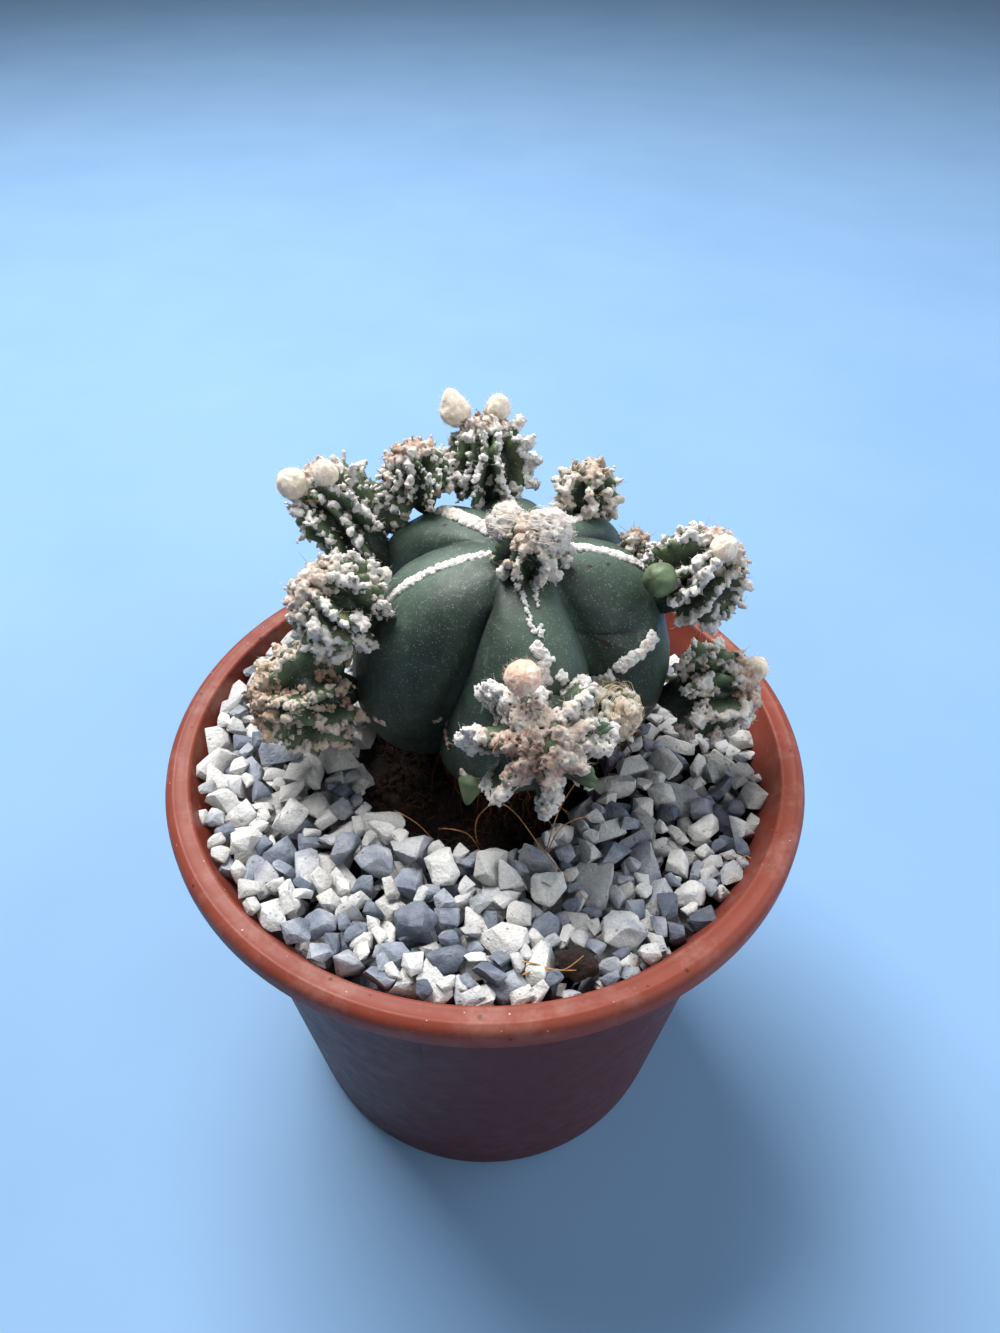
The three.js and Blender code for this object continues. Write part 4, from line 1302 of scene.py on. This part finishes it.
def build_head(head):
    name = head["name"]
    random = np.random.default_rng(head["seed"])
    arms = plan_arms(head, random)
    chain, thickness, tone, out = head_wool(head, arms, random)
    felt = felt_wool(chain.reshape(-1, 3), thickness.ravel(), np.repeat(tone, 3), head["gold"])
    loose = random.uniform(0, 1, len(tone)) < LOOSE_SHARE
    sizes = random.uniform(0.22, 0.5, loose.sum())
    spots = chain[loose, 2] + out[loose] * thickness[loose, 2:] * 0.8
    crumbs = scatter_crumbs(spots, sizes, tone[loose] - 0.05, head["gold"], random)
    hairs = grow_hairs(felt, 0.65, 0.4, 1.2, 1.2, head["seed"], "hair")
    bristles = [hairs, head_spines(head, arms, random)]
    if "locks" in head:
        centre, radius = np.array(head["at"]), head["size"] + LOCK_LIFT
        locks = comb_locks(centre, radius, head["faces"], head["locks"], random)
        bristles.append(draw_threads(*locks, "straw_hair", 3))
    finish_piece(name + "_body", head_body(head, arms), [name], "young_skin")
    finish_piece(name + "_wool", join_meshes("wool", [felt, crumbs]), [name])
    finish_piece(name + "_bristles", join_meshes("bristles", bristles))


def comb_locks(centre, radius, axis, count, random):
    """Long fine hairs that lie in locks round a ball, turned about its axis."""
    lines, widths = [], []
    axis = unit(axis)
    for _ in range(count):
        start = unit(random.normal(0, 1, 3))
        steps = np.linspace(0, 1, 8)[:, None]
        turns = random.uniform(0.5, 1.5) * steps
        side = np.cross(axis, start)
        level = axis * (axis @ start)
        line = level + (start - level) * np.cos(turns) + side * np.sin(turns)
        line = line + lumps(line * 3 + start * 5, 1.0, 5)[:, None] * 0.12 * steps
        lift = radius * random.uniform(0.96, 1.06) * (1 + random.uniform(0, 0.1) * steps**3)
        lines.append(centre + line * lift)
        widths.append(between(0.03, 0.012, steps[:, 0]))
    return lines, widths


# Lumps of wool on the crown: centre, radius, tone, gold, and the seed
CROWN_LUMPS = [
    {"at": (2.3, 4.0, 99.0), "radius": 2.2, "tone": 0.0, "gold": 0.2, "seed": 91},
    {"at": (6.9, 2.0, 99.2), "radius": 2.8, "tone": 0.16, "gold": 0.0, "seed": 92},
]


def build_crown_lumps():
    """The two woolly growing points on the crown, wrapped in long pale hair."""
    parts, lines, widths = [], [], []
    for lump in CROWN_LUMPS:
        random = np.random.default_rng(lump["seed"])
        count = int(45 * lump["radius"] ** 2)
        out = unit(random.normal(0, 1, (count, 3)))
        reach = lump["radius"] * (0.9 + 0.12 * lumps(out * lump["radius"], 1.3, lump["seed"]))
        spots = np.array(lump["at"]) + out * reach[:, None]
        tone = lump["tone"] + random.normal(0, 0.07, count)
        parts.append(felt_wool(spots, random.uniform(0.25, 0.55, count), tone, lump["gold"]))
        locks = comb_locks(np.array(lump["at"]), lump["radius"] + LOCK_LIFT, (0.2, 0.6, 0.7), 240, random)
        lines += locks[0]
        widths += locks[1]
    finish_piece("crown_lumps", join_meshes("lumps", parts), ["crown_head"])
    finish_piece("crown_locks", draw_threads(lines, widths, "hair", 3), ["crown_head"])


# Flower buds: centre, radius, length over width, and the way each one points
BUDS = [
    {"name": "bud_front", "at": (4.2, -14.2, 91.6), "radius": 2.0, "slim": 1, "faces": (0, -0.7, 0.7)},
    {"name": "bud_back_left_outer_a", "at": (-25.4, 17.5, 95.4), "radius": 2.0, "slim": 1.1,
     "faces": (-0.7, -0.1, 0.7)},
    {"name": "bud_back_left_outer_b", "at": (-20.9, 17.2, 97.2), "radius": 1.7, "slim": 1.1,
     "faces": (-0.2, -0.1, 1)},
    {"name": "bud_back_left_inner_a", "at": (-4.7, 27, 100.9), "radius": 2.1, "slim": 1.5,
     "faces": (-0.3, 0.2, 1)},
    {"name": "bud_back_left_inner_b", "at": (1, 27.5, 101.1), "radius": 1.7, "slim": 1.15,
     "faces": (0.1, 0.2, 1)},
    {"name": "bud_right_upper", "at": (27.9, 3.1, 96.6), "radius": 1.6, "slim": 1.1,
     "faces": (0.4, -0.1, 0.9)},
    {"name": "bud_right_lower", "at": (34.6, 1.2, 79.2), "radius": 1.5, "slim": 1,
     "faces": (0.8, -0.2, 0.6)},
]


def ball_points(at, radius, faces, slim, rows=40, columns=56):
    """Rings of a ball, drawn out to a point towards the way it faces if it's slim."""
    tilt = np.linspace(0.03, np.pi - 0.03, rows)[:, None]
    around = full_turn(columns)[None, :]
    upper = np.clip(np.cos(tilt), 0, 1)
    wide = np.sin(tilt) * (1 - (slim - 1) * 0.6 * upper)
    local = np.stack([
        wide * np.cos(around), wide * np.sin(around),
        np.broadcast_to(np.cos(tilt) * (1 + (slim - 1) * upper), (rows, columns)),
    ], axis=-1)
    return tilt, around, local * radius @ head_axes(faces) + np.array(at)


def build_bud(bud, seed):
    tilt, around, rings = ball_points(bud["at"], bud["radius"], bud["faces"], bud["slim"])
    out = unit(rings - np.array(bud["at"]))
    swirl = np.cos(9 * around + 2.2 * tilt + seed) * np.sin(tilt)
    swell = 0.04 * swirl + 0.1 * lumps(rings, 1.1, seed) + 0.06 * lumps(rings, 0.45, seed)
    mesh = closed_rings(bud["name"], rings + out * swell[..., None])
    rosy, finish = (1.0, "bud_hair") if bud["name"] == "bud_front" else (0.15, "hair")
    paint(mesh, "rosy", np.full(len(mesh.vertices), rosy))
    hairs = grow_hairs(mesh, 9.0, 0.35, 0.8, 1.35, seed, finish)
    finish_piece(bud["name"] + "_ball", mesh, [bud["name"]], "bud")
    finish_piece(bud["name"] + "_fuzz", hairs, [bud["name"]])


# Young offsets without wool: centre, radius, the way each one points, length over width
YOUNG = [
    {"name": "offset_right_young", "at": (20.4, 0.4, 93.9), "size": 2.05, "slim": 1,
     "faces": (-0.5, -0.6, 0.6)},
    {"name": "offset_front_young", "at": (-1.6, -12, 71.4), "size": 1.7, "slim": 1.7,
     "faces": (-0.2, -0.6, -0.75)},
]


def build_young(young, seed):
    tilt, around, rings = ball_points(young["at"], young["size"], young["faces"], young["slim"])
    out = unit(rings - np.array(young["at"]))
    swell = 0.06 * np.cos(5 * around) * np.sin(tilt) + 0.1 * lumps(rings, 1.2, seed)
    mesh = closed_rings(young["name"], rings + out * swell[..., None])
    dry_tip = smooth(0.8, 0.2, tilt) * (0.55 if young["slim"] > 1 else 0)
    crest = 0.35 + 0.4 * lumps(rings, 1.5, seed)
    paint_rings(mesh, swell.shape, crest=crest, cork=dry_tip, scar=0)
    finish_piece(young["name"] + "_skin", mesh, [young["name"]], "young_skin")


# Fillings

def bed_height(x, y):
    """Level of the chips: near the rim at the front and left, lower to the right and back."""
    edge = 0.9 * smooth(28, 36, np.hypot(x, y))
    return CHIP_LEVEL + edge - BED_DROP_RIGHT * smooth(5, 36, x) - BED_DROP_BACK * smooth(-5, 34, y)


def build_mix():
    """Potting mix with a crumbly top, seen in the hollow round the plant's base."""
    around, rows = 110, 56
    bottom = FLOOR_TOP + WALL_GAP
    wall, foot = inside_radius(MIX_TOP) - WALL_GAP, inside_radius(bottom) - WALL_GAP
    radii = np.concatenate([
        np.linspace(0.2, wall, rows), np.linspace(wall, foot, 12)[1:], np.linspace(foot, 0.2, 8)[1:]])
    heights = np.concatenate([
        np.full(rows, MIX_TOP), np.linspace(MIX_TOP, bottom, 12)[1:], np.full(7, bottom)])
    rings = level_rings(radii, heights, around)
    rough = 0.9 * lumps(rings, 3.2, 40) + 0.5 * lumps(rings, 1.1, 41) + 0.25 * lumps(rings, 0.5, 42)
    top = np.arange(len(radii))[:, None] < rows - 3
    rings[..., 2] += np.where(top, rough, 0)
    finish_piece("mix_fill", closed_rings("mix", rings), ["potting_mix"], "peat")


def build_crumbs():
    """Loose crumbs of peat in the hollow round the plant's base."""
    random = np.random.default_rng(17)
    count, kinds = 700, 6
    radius = (HOLLOW_RADIUS + 3) * np.sqrt(random.uniform(0.02, 1, count))
    turn = random.uniform(0, 2 * np.pi, count)
    flat = HOLLOW_CENTRE + np.stack([radius * np.cos(turn), radius * np.sin(turn)], axis=-1)
    height = MIX_TOP + 0.3 + 1.0 * lumps(np.c_[flat, np.zeros(count)], 3.2, 40)
    size = random.uniform(0.5, 1.7, count)
    picks, turns = random.integers(0, kinds, count), random.uniform(0, 6.28, (count, 3))
    shapes = crumb_shapes("peat_crumb", kinds, 0.45)
    mesh = set_copies(np.c_[flat, height], picks, turns, size, shapes, "peat")
    finish_piece("mix_crumbs", mesh)


def build_peat_lump():
    """The lump of peat that lies on the chips at the rim."""
    low, high = (np.array(corner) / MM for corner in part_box("peat_lump"))
    centre = (low + high) / 2
    rings = ball_points((0, 0, 0), 1, (0, 0, 1), 1, 60, 80)[2]
    rings = centre + rings * (high - low) / 2
    out = unit(rings - centre)
    swell = 0.4 * lumps(rings, 1.6, 60) + 0.28 * lumps(rings, 0.7, 61) - 0.2
    finish_piece("peat_clod", closed_rings("clod", rings + out * swell[..., None]),
                 ["peat_lump"], "peat")


# Chips

def flatten_faces(block):
    """Makes one of faces that are nearly level with each other, and turns all of them out."""
    bmesh.ops.dissolve_limit(block, angle_limit=0.12, verts=block.verts, edges=block.edges)
    bmesh.ops.recalc_face_normals(block, faces=block.faces)


def keep_hull(block):
    """Closes the points of a block with flat faces."""
    hull = bmesh.ops.convex_hull(block, input=block.verts)
    spare = {part for part in hull["geom_interior"] + hull["geom_unused"]
             if isinstance(part, bmesh.types.BMVert)}
    bmesh.ops.delete(block, geom=list(spare), context="VERTS")
    flatten_faces(block)


def strike_off(block, cuts, least, most, random):
    """Strikes corners and edges off a stone by flat cuts."""
    middle = sum((corner.co for corner in block.verts), Vector()) / len(block.verts)
    for _ in range(cuts):
        way = Vector(unit(random.normal(0, 1, 3)))
        reach = max((corner.co - middle).dot(way) for corner in block.verts)
        stop = middle + way * reach * (1 - random.uniform(least, most))
        parts = block.verts[:] + block.edges[:] + block.faces[:]
        cut = bmesh.ops.bisect_plane(block, geom=parts, plane_co=stop, plane_no=way, clear_outer=True)
        edges = [part for part in cut["geom_cut"] if isinstance(part, bmesh.types.BMEdge)]
        bmesh.ops.holes_fill(block, edges=edges)
    bmesh.ops.remove_doubles(block, verts=block.verts, dist=0.03)
    flatten_faces(block)


def strike_block(sizes, random):
    """An angular stone: a crooked block with some corners and edges struck off."""
    block = bmesh.new()
    corners = np.array(list(np.ndindex(2, 2, 2))) - 0.5
    for spot in (corners - np.sign(corners) * random.uniform(0, 0.44, (8, 3))) * sizes:
        block.verts.new(spot)
    keep_hull(block)
    strike_off(block, random.integers(4, 8), 0.08, 0.32, random)
    return block


CHIP_CELL = 0.3
CHIP_LENGTHS = (3.0, 4.0, 5.0, 6.0, 6.8)
CHIP_SHARES = (0.12, 0.22, 0.3, 0.24, 0.12)


def flat_profile(planes, spots):
    """Underside and top of a stone over a small map of cells."""
    reach = int(np.ceil(np.abs(spots[:, :2]).max() / CHIP_CELL)) + 1
    line = np.arange(-reach, reach + 1) * CHIP_CELL
    x, y = np.meshgrid(line, line, indexing="ij")
    under, over = np.full(x.shape, -np.inf), np.full(x.shape, np.inf)
    for normal, offset in planes:
        level = (offset - normal[0] * x - normal[1] * y)
        if abs(normal[2]) < 1e-6:
            over = np.where(level < 0, -np.inf, over)
        elif normal[2] > 0:
            over = np.minimum(over, level / normal[2])
        else:
            under = np.maximum(under, level / normal[2])
    inside = over > under
    return np.where(inside, under, np.inf), np.where(inside, over, -np.inf)


def planes_of(block):
    return [(np.array(face.normal), face.normal.dot(face.verts[0].co)) for face in block.faces]


def soften(block, width, longest, seed):
    """Worn edges and a slightly uneven surface on a struck stone; returns its plain mesh."""
    bmesh.ops.bevel(block, geom=block.edges[:], offset=width, segments=1, profile=0.5, affect="EDGES",
                    clamp_overlap=True)
    for _ in range(4):
        bmesh.ops.triangulate(block, faces=block.faces[:])
        long = [edge for edge in block.edges if edge.calc_length() > longest]
        if not long:
            break
        bmesh.ops.subdivide_edges(block, edges=long, cuts=1)
    bmesh.ops.triangulate(block, faces=block.faces[:])
    mesh = block_mesh("chip", block)
    spots = np.array([corner.co for corner in mesh.vertices])
    out = np.array([corner.normal for corner in mesh.vertices])
    swell = 0.13 * lumps(spots, 1.4, seed) + 0.07 * lumps(spots, 0.6, seed + 1)
    mesh.vertices.foreach_set("co", (spots + out * swell[:, None]).ravel())
    crisp(mesh)
    return mesh


def lay_chips(count, random):
    """A stock of chips that lie as chips do, on one of their larger faces, with their maps."""
    stock = []
    for number in range(count):
        length = random.choice(CHIP_LENGTHS, p=CHIP_SHARES)
        length *= random.uniform(0.88, 1.12)
        sizes = length * np.array([1.1, random.uniform(0.7, 1.0), random.uniform(0.42, 0.85)])
        block = strike_block(sizes, random)
        faces = sorted(block.faces, key=lambda face: -face.calc_area())
        down = faces[random.integers(0, 3)].normal
        turn = down.rotation_difference(Vector((0, 0, -1))).to_matrix()
        lean = Matrix.Rotation(random.normal(0, 0.35), 3, "X")
        lean = lean @ Matrix.Rotation(random.normal(0, 0.35), 3, "Y")
        turn = Matrix.Rotation(random.uniform(0, 6.28), 3, "Z") @ lean @ turn
        bmesh.ops.rotate(block, verts=block.verts, cent=(0, 0, 0), matrix=turn)
        block.normal_update()
        spots = np.array([corner.co for corner in block.verts])
        under, over = flat_profile(planes_of(block), spots)
        plain = bpy.data.meshes.new("plain_chip")
        block.to_mesh(plain)
        stock.append({"under": under, "over": over, "length": length, "plain": plain,
                      "fine": soften(block, 0.13, 2.7, number)})
    return stock


GROUND_REACH = 41.0
CHIP_SETTLE = 0.35
PEAT_LUMP_ROOM = 2.3
NO_ROOM = 99.0
OPEN_SKY = 120.0
HIGHEST_REST = 90

# The smaller chips of the bed: kinds, from cream to slate, and the share of each
CHIP_KINDS = (0.1, 0.28, 0.5, 0.72, 0.9)
KIND_SHARES = (0.34, 0.26, 0.12, 0.18, 0.1)


def cell_of(x, y):
    return int(round((x + GROUND_REACH) / CHIP_CELL)), int(round((y + GROUND_REACH) / CHIP_CELL))


def place_of(i, j, rest):
    return i * CHIP_CELL - GROUND_REACH, j * CHIP_CELL - GROUND_REACH, rest


def window_at(i, j, half):
    """The part of a map that reaches half cells each way from a cell."""
    return slice(i - half, i + half + 1), slice(j - half, j + half + 1)


def try_chip(chip, quarter, i, j, ground, ceiling):
    """Height at which a chip dropped there comes to lie, with its maps, or None if it can't."""
    under, over = np.rot90(chip["under"], quarter), np.rot90(chip["over"], quarter)
    half = under.shape[0] // 2
    if i < half or j < half or i + half >= len(ground) or j + half >= len(ground):
        return None
    window = window_at(i, j, half)
    rest = np.max(ground[window] - under) - CHIP_SETTLE
    if rest > HIGHEST_REST or np.any(rest + over > ceiling[window]):
        return None
    return rest, rest + over, window


def drop_chips(stock, ground, ceiling, goal, allowance, patience, random, longest=9, shortest=0):
    """Drops chips one by one where most room is left under the goal, until none fits any more."""
    laid = []
    misses = 0
    fitting = [i for i, chip in enumerate(stock) if shortest <= chip["length"] <= longest]
    while misses < patience:
        pick = fitting[random.integers(len(fitting))]
        quarter = int(random.integers(4))
        room = np.maximum(goal - ground, 0).ravel()
        if room.max() < 0.8:
            break
        chances = np.cumsum(room**2)
        best = None
        for spot in np.searchsorted(chances, random.uniform(0, chances[-1], 8)):
            i, j = divmod(int(spot), len(ground))
            tried = try_chip(stock[pick], quarter, i, j, ground, ceiling)
            if tried is None:
                continue
            over_goal = tried[1].max() - goal[i, j]
            if over_goal < allowance and (best is None or over_goal < best[0]):
                best = (over_goal, i, j, tried)
        if best is None:
            misses += 1
            continue
        _, i, j, (rest, top, window) = best
        ground[window] = np.maximum(ground[window], top)
        laid.append((place_of(i, j, rest), pick, quarter))
    return laid


# The large chips in the order of their nodes: kind, from cream to slate, and how light each is
LARGE_CHIPS = [
    (0.1, 0.9), (0.15, 0.8), (0.1, 0.9), (0.66, 0.75), (0.7, 0.6), (0.2, 0.95), (0.92, 0.4),
    (0.62, 0.95), (0.88, 0.5), (0.2, 0.85), (0.42, 0.7), (0.2, 0.9), (0.15, 0.85), (0.05, 1.0),
]


def large_chip(number, kind, light, ground, ceiling):
    """A large chip struck from its node's outline; marks the room it takes on the maps."""
    name = f"stone_{number:02d}"
    random = np.random.default_rng(200 + number)
    block = bmesh.new()
    block.from_mesh(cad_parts[name].data)
    bmesh.ops.scale(block, vec=(1 / MM,) * 3, verts=block.verts)
    bmesh.ops.remove_doubles(block, verts=block.verts, dist=0.01)
    keep_hull(block)
    strike_off(block, 5, 0.05, 0.22, random)
    corners = np.array([corner.co for corner in block.verts])
    centre = (corners.min(axis=0) + corners.max(axis=0)) / 2
    planes = [(normal, offset - normal @ centre) for normal, offset in planes_of(block)]
    under, over = flat_profile(planes, corners - centre)
    half = under.shape[0] // 2
    i, j = cell_of(centre[0], centre[1])
    window = window_at(i, j, half)
    ceiling[window] = np.minimum(ceiling[window], centre[2] + under)
    mesh = soften(block, 0.2, 0.7, 70 + number)
    paint(mesh, "kind", np.full(len(mesh.vertices), kind))
    paint(mesh, "light", np.full(len(mesh.vertices), light))
    finish_piece(f"large_chip_{number:02d}", mesh, [name], "limestone")
    return window, centre[2] + over


def build_chips():
    random = np.random.default_rng(23)
    cells = int(2 * GROUND_REACH / CHIP_CELL) + 1
    line = np.arange(cells) * CHIP_CELL - GROUND_REACH
    x, y = np.meshgrid(line, line, indexing="ij")
    radius = np.hypot(x, y)
    from_hollow = np.hypot(x - HOLLOW_CENTRE[0], y - HOLLOW_CENTRE[1])
    goal = bed_height(x, y) - 9 * smooth(HOLLOW_RADIUS + 3.5, HOLLOW_RADIUS - 1, from_hollow)
    slope = (RIM_INNER_TOP - SHOULDER) / (RIM_INNER_RADIUS - inside_radius(SHOULDER))
    wall = SHOULDER + (radius - WALL_GAP - inside_radius(SHOULDER)) * slope
    ground = np.where(wall > SHOULDER, wall, MIX_TOP + 0.4)
    ground = np.where(radius > RIM_INNER_RADIUS - WALL_GAP, NO_ROOM, ground)
    ceiling = np.full(ground.shape, OPEN_SKY)
    tops = [large_chip(number + 1, kind, light, ground, ceiling)
            for number, (kind, light) in enumerate(LARGE_CHIPS)]
    stock = lay_chips(80, random)
    under_laid = drop_chips(stock, ground, ceiling, goal, -2.4, 120, random)
    for window, over in tops:
        ground[window] = np.maximum(ground[window], over)
    ceiling[:] = OPEN_SKY
    lump = np.mean(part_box("peat_lump"), axis=0) / MM
    ground = np.where(np.hypot(x - lump[0], y - lump[1]) < PEAT_LUMP_ROOM, NO_ROOM, ground)
    laid = drop_chips(stock, ground, ceiling, goal, 1.6, 110, random, shortest=4.6)
    laid += drop_chips(stock, ground, ceiling, goal, 1.2, 200, random, longest=5.0)
    laid += drop_chips(stock, ground, ceiling, goal, 0.8, 300, random, longest=3.7)
    for name, chips, kind in (("chips_under", under_laid, "plain"), ("chips", laid, "fine")):
        spots, picks, quarters = map(np.array, zip(*chips))
        count = len(chips)
        kinds = random.choice(CHIP_KINDS, count, p=KIND_SHARES)
        kinds = kinds + random.normal(0, 0.05, count)
        lights = np.clip(random.normal(0.72, 0.2, count), 0, 1)
        turns = np.c_[np.zeros((count, 2)), quarters * np.pi / 2]
        shapes = shape_store(name, [chip[kind] for chip in stock])
        mesh = set_copies(spots, picks, turns, np.ones(count), shapes, "limestone", kind=kinds, light=lights)
        finish_piece(name, mesh, ["gravel_layer"])


# Roots

def hang_line(start, end, sag, wobble, random, steps=7):
    """A slack line between two points, with a wobble."""
    share = np.linspace(0, 1, steps)[:, None]
    line = between(np.array(start, float), np.array(end, float), share)
    line[:, 2:] -= sag * np.sin(np.pi * share)
    return line + random.normal(0, wobble, line.shape) * np.sin(np.pi * share)


# Long root threads, given one by one, from the stem's base over the chips
ROOT_THREADS = [
    [(-1, -12.4, 60), (-1.2, -13, 63.5), (-0.6, -13, 66.5), (1.6, -12.6, 68.4), (4, -14, 67.8),
     (6.8, -18, 66.9), (9.1, -21, 66.4), (10.4, -22.8, 66), (12.5, -25.6, 66.2)],
    [(7.6, -17.4, 62.5), (8, -17, 65.8), (8.5, -16, 68), (9.6, -14, 70), (11.6, -11, 71.2)],
    [(7.7, -17.8, 62), (8.2, -17.5, 66.1), (9.3, -17, 68.9), (10.9, -16.5, 70), (12.8, -15.5, 69.6)],
    [(-6, -11.5, 61.5), (-4.2, -13.2, 63.6), (-2, -13.6, 63), (-0.5, -14.2, 60.4)],
    [(-12, -9, 62), (-11, -11, 64), (-8.5, -12.4, 63.4), (-6.4, -13.2, 60.8)],
    [(3.5, -33.4, 66.4), (6, -34.2, 67), (9, -34.6, 66.4), (11.4, -33.6, 67.8)],
    [(4.6, -35, 66), (6.6, -34.6, 66.7), (8.8, -34.9, 66.9), (10.6, -34.6, 66.4)],
    [(31, -18.5, 62.4), (33, -16.6, 63.4), (34.4, -19, 63.2), (33.2, -21.4, 62.6)],
]


def build_roots():
    """Corky root crown, brown strands hanging from the stem's base, and a few long threads."""
    random = np.random.default_rng(31)
    rows, around = 50, 70
    height = np.linspace(66, 40, rows)[:, None]
    turn = full_turn(around)[None, :]
    reach = between(2.5, 8.5, smooth(40, 60, height)) + 0.8 * np.cos(5 * turn + 0.2 * height)
    rings = np.stack([
        STEM_FOOT[0] + reach * np.cos(turn), STEM_FOOT[1] + reach * np.sin(turn),
        np.broadcast_to(height, reach.shape),
    ], axis=-1)
    rings[..., :2] += 0.5 * np.stack([lumps(rings, 1.2, 80), lumps(rings, 1.2, 81)], axis=-1)
    finish_piece("root_neck", closed_rings("neck", rings), ["root_crown"], "bark")
    lines, widths = [], []
    for _ in range(340):
        angle = random.uniform(0, 360)
        share = random.uniform(0.68, 0.86)
        start = stem_points(np.array(angle), np.array(share))
        way = unit(start[:2] - STEM_FOOT[:2])
        end = np.array([*(start[:2] - way * random.uniform(-1, 4)), 0]) + random.normal(0, 1.2, 3)
        end[2] = MIX_TOP + random.uniform(-0.8, 1.2)
        lines.append(hang_line(start, end, random.uniform(-0.8, 0.8), 0.35, random))
        widths.append(between(random.uniform(0.07, 0.17), 0.03, np.linspace(0, 1, 7)))
    for _ in range(160):
        radius = HOLLOW_RADIUS * np.sqrt(random.uniform(0.1, 1))
        angle = random.uniform(0, 2 * np.pi)
        flat = HOLLOW_CENTRE + radius * np.array([np.cos(angle), np.sin(angle)])
        start = np.array([*flat, MIX_TOP + 0.6])
        end = start + np.array([*random.normal(0, 3, 2), random.uniform(-0.3, 1.0)])
        lines.append(hang_line(start, end, -random.uniform(0.3, 1.6), 0.5, random))
        widths.append(np.full(7, random.uniform(0.04, 0.09)))
    finish_piece("root_strands", draw_threads(lines, widths, "bark", 3), ["root_crown"])
    lines = [curve_through(np.array(line), np.linspace(0, 1, 30)) for line in ROOT_THREADS]
    widths = [between(0.11, 0.05, np.linspace(0, 1, 30)) for _ in lines]
    finish_piece("root_threads", draw_threads(lines, widths, "thread", 6))


# Stage

CAMERA_AT = (0.0017, -0.0927, 0.1664)
CAMERA_PITCH = 47.0
CAMERA_ROLL = 0.8
FRAME_HEIGHT = 1333
FOCAL_PIXELS = 1000
SENSOR = 36.0
DAYLIGHT = (0.75, 0.87, 1.0)
SKY_STRENGTH = 0.18
FLOOR_REACH = 3.0


def build_camera():
    lens = bpy.data.cameras.new("camera")
    lens.sensor_width = SENSOR
    lens.lens = FOCAL_PIXELS / FRAME_HEIGHT * SENSOR
    lens.clip_start = 0.005
    camera = new_object("camera", lens)
    pitch = Matrix.Rotation(np.radians(CAMERA_PITCH), 4, "X")
    roll = Matrix.Rotation(np.radians(CAMERA_ROLL), 4, "Z")
    camera.matrix_world = Matrix.Translation(CAMERA_AT) @ pitch @ roll
    bpy.context.scene.camera = camera


def area_light(name, place, target, size, power, tint):
    lamp = bpy.data.lights.new(name, "AREA")
    lamp.size = size
    lamp.energy = power
    lamp.color = tint
    holder = new_object(name, lamp)
    holder.location = place
    way = Vector(target) - Vector(place)
    holder.rotation_euler = way.to_track_quat("-Z", "Y").to_euler()


def build_stage():
    sides = ((-1, -1), (1, -1), (1, 1), (-1, 1))
    corners = [(x * FLOOR_REACH, y * FLOOR_REACH, 0) for x, y in sides]
    floor = new_mesh("floor", corners, [(0, 1, 2, 3)])
    material, tree, shader, where = new_finish("floor", roughness=0.7, specular_ior_level=0.2)
    cloud = noise(tree, where, 60.0)
    base = blend(tree, cloud, colour("#6d8fb3"), colour("#7999bb"))
    tree.links.new(base, shader.inputs["Base Color"])
    floor.materials.append(material)
    holder = new_object("floor", floor)
    area_light("sky_light", (-0.2, 0.3, 0.68), (0, 0, 0.07), 0.45, 12.5, (1.0, 0.99, 0.98))
    area_light("fill", (0.42, -0.4, 0.42), (0, 0, 0.07), 0.5, 1.9, (0.96, 0.98, 1.0))
    area_light("side", (0.65, 0.15, 0.3), (0, 0, 0.06), 0.5, 2.6, DAYLIGHT)
    world = bpy.data.worlds.new("studio")
    world.use_nodes = True
    sky = world.node_tree.nodes["Background"]
    sky.inputs["Color"].default_value = (*DAYLIGHT, 1.0)
    sky.inputs["Strength"].default_value = SKY_STRENGTH
    bpy.context.scene.world = world
    bpy.context.scene.view_settings.view_transform = "Standard"


build_camera()
build_stage()
build_pot()
build_stem()
build_felt_lines()
for offset in [FRONT_HEAD, *HEADS]:
    build_head(offset)
build_crown_lumps()
for number, bud in enumerate(BUDS):
    build_bud(bud, 100 + number)
for number, young in enumerate(YOUNG):
    build_young(young, 120 + number)
build_mix()
build_crumbs()
build_peat_lump()
build_roots()
build_chips()
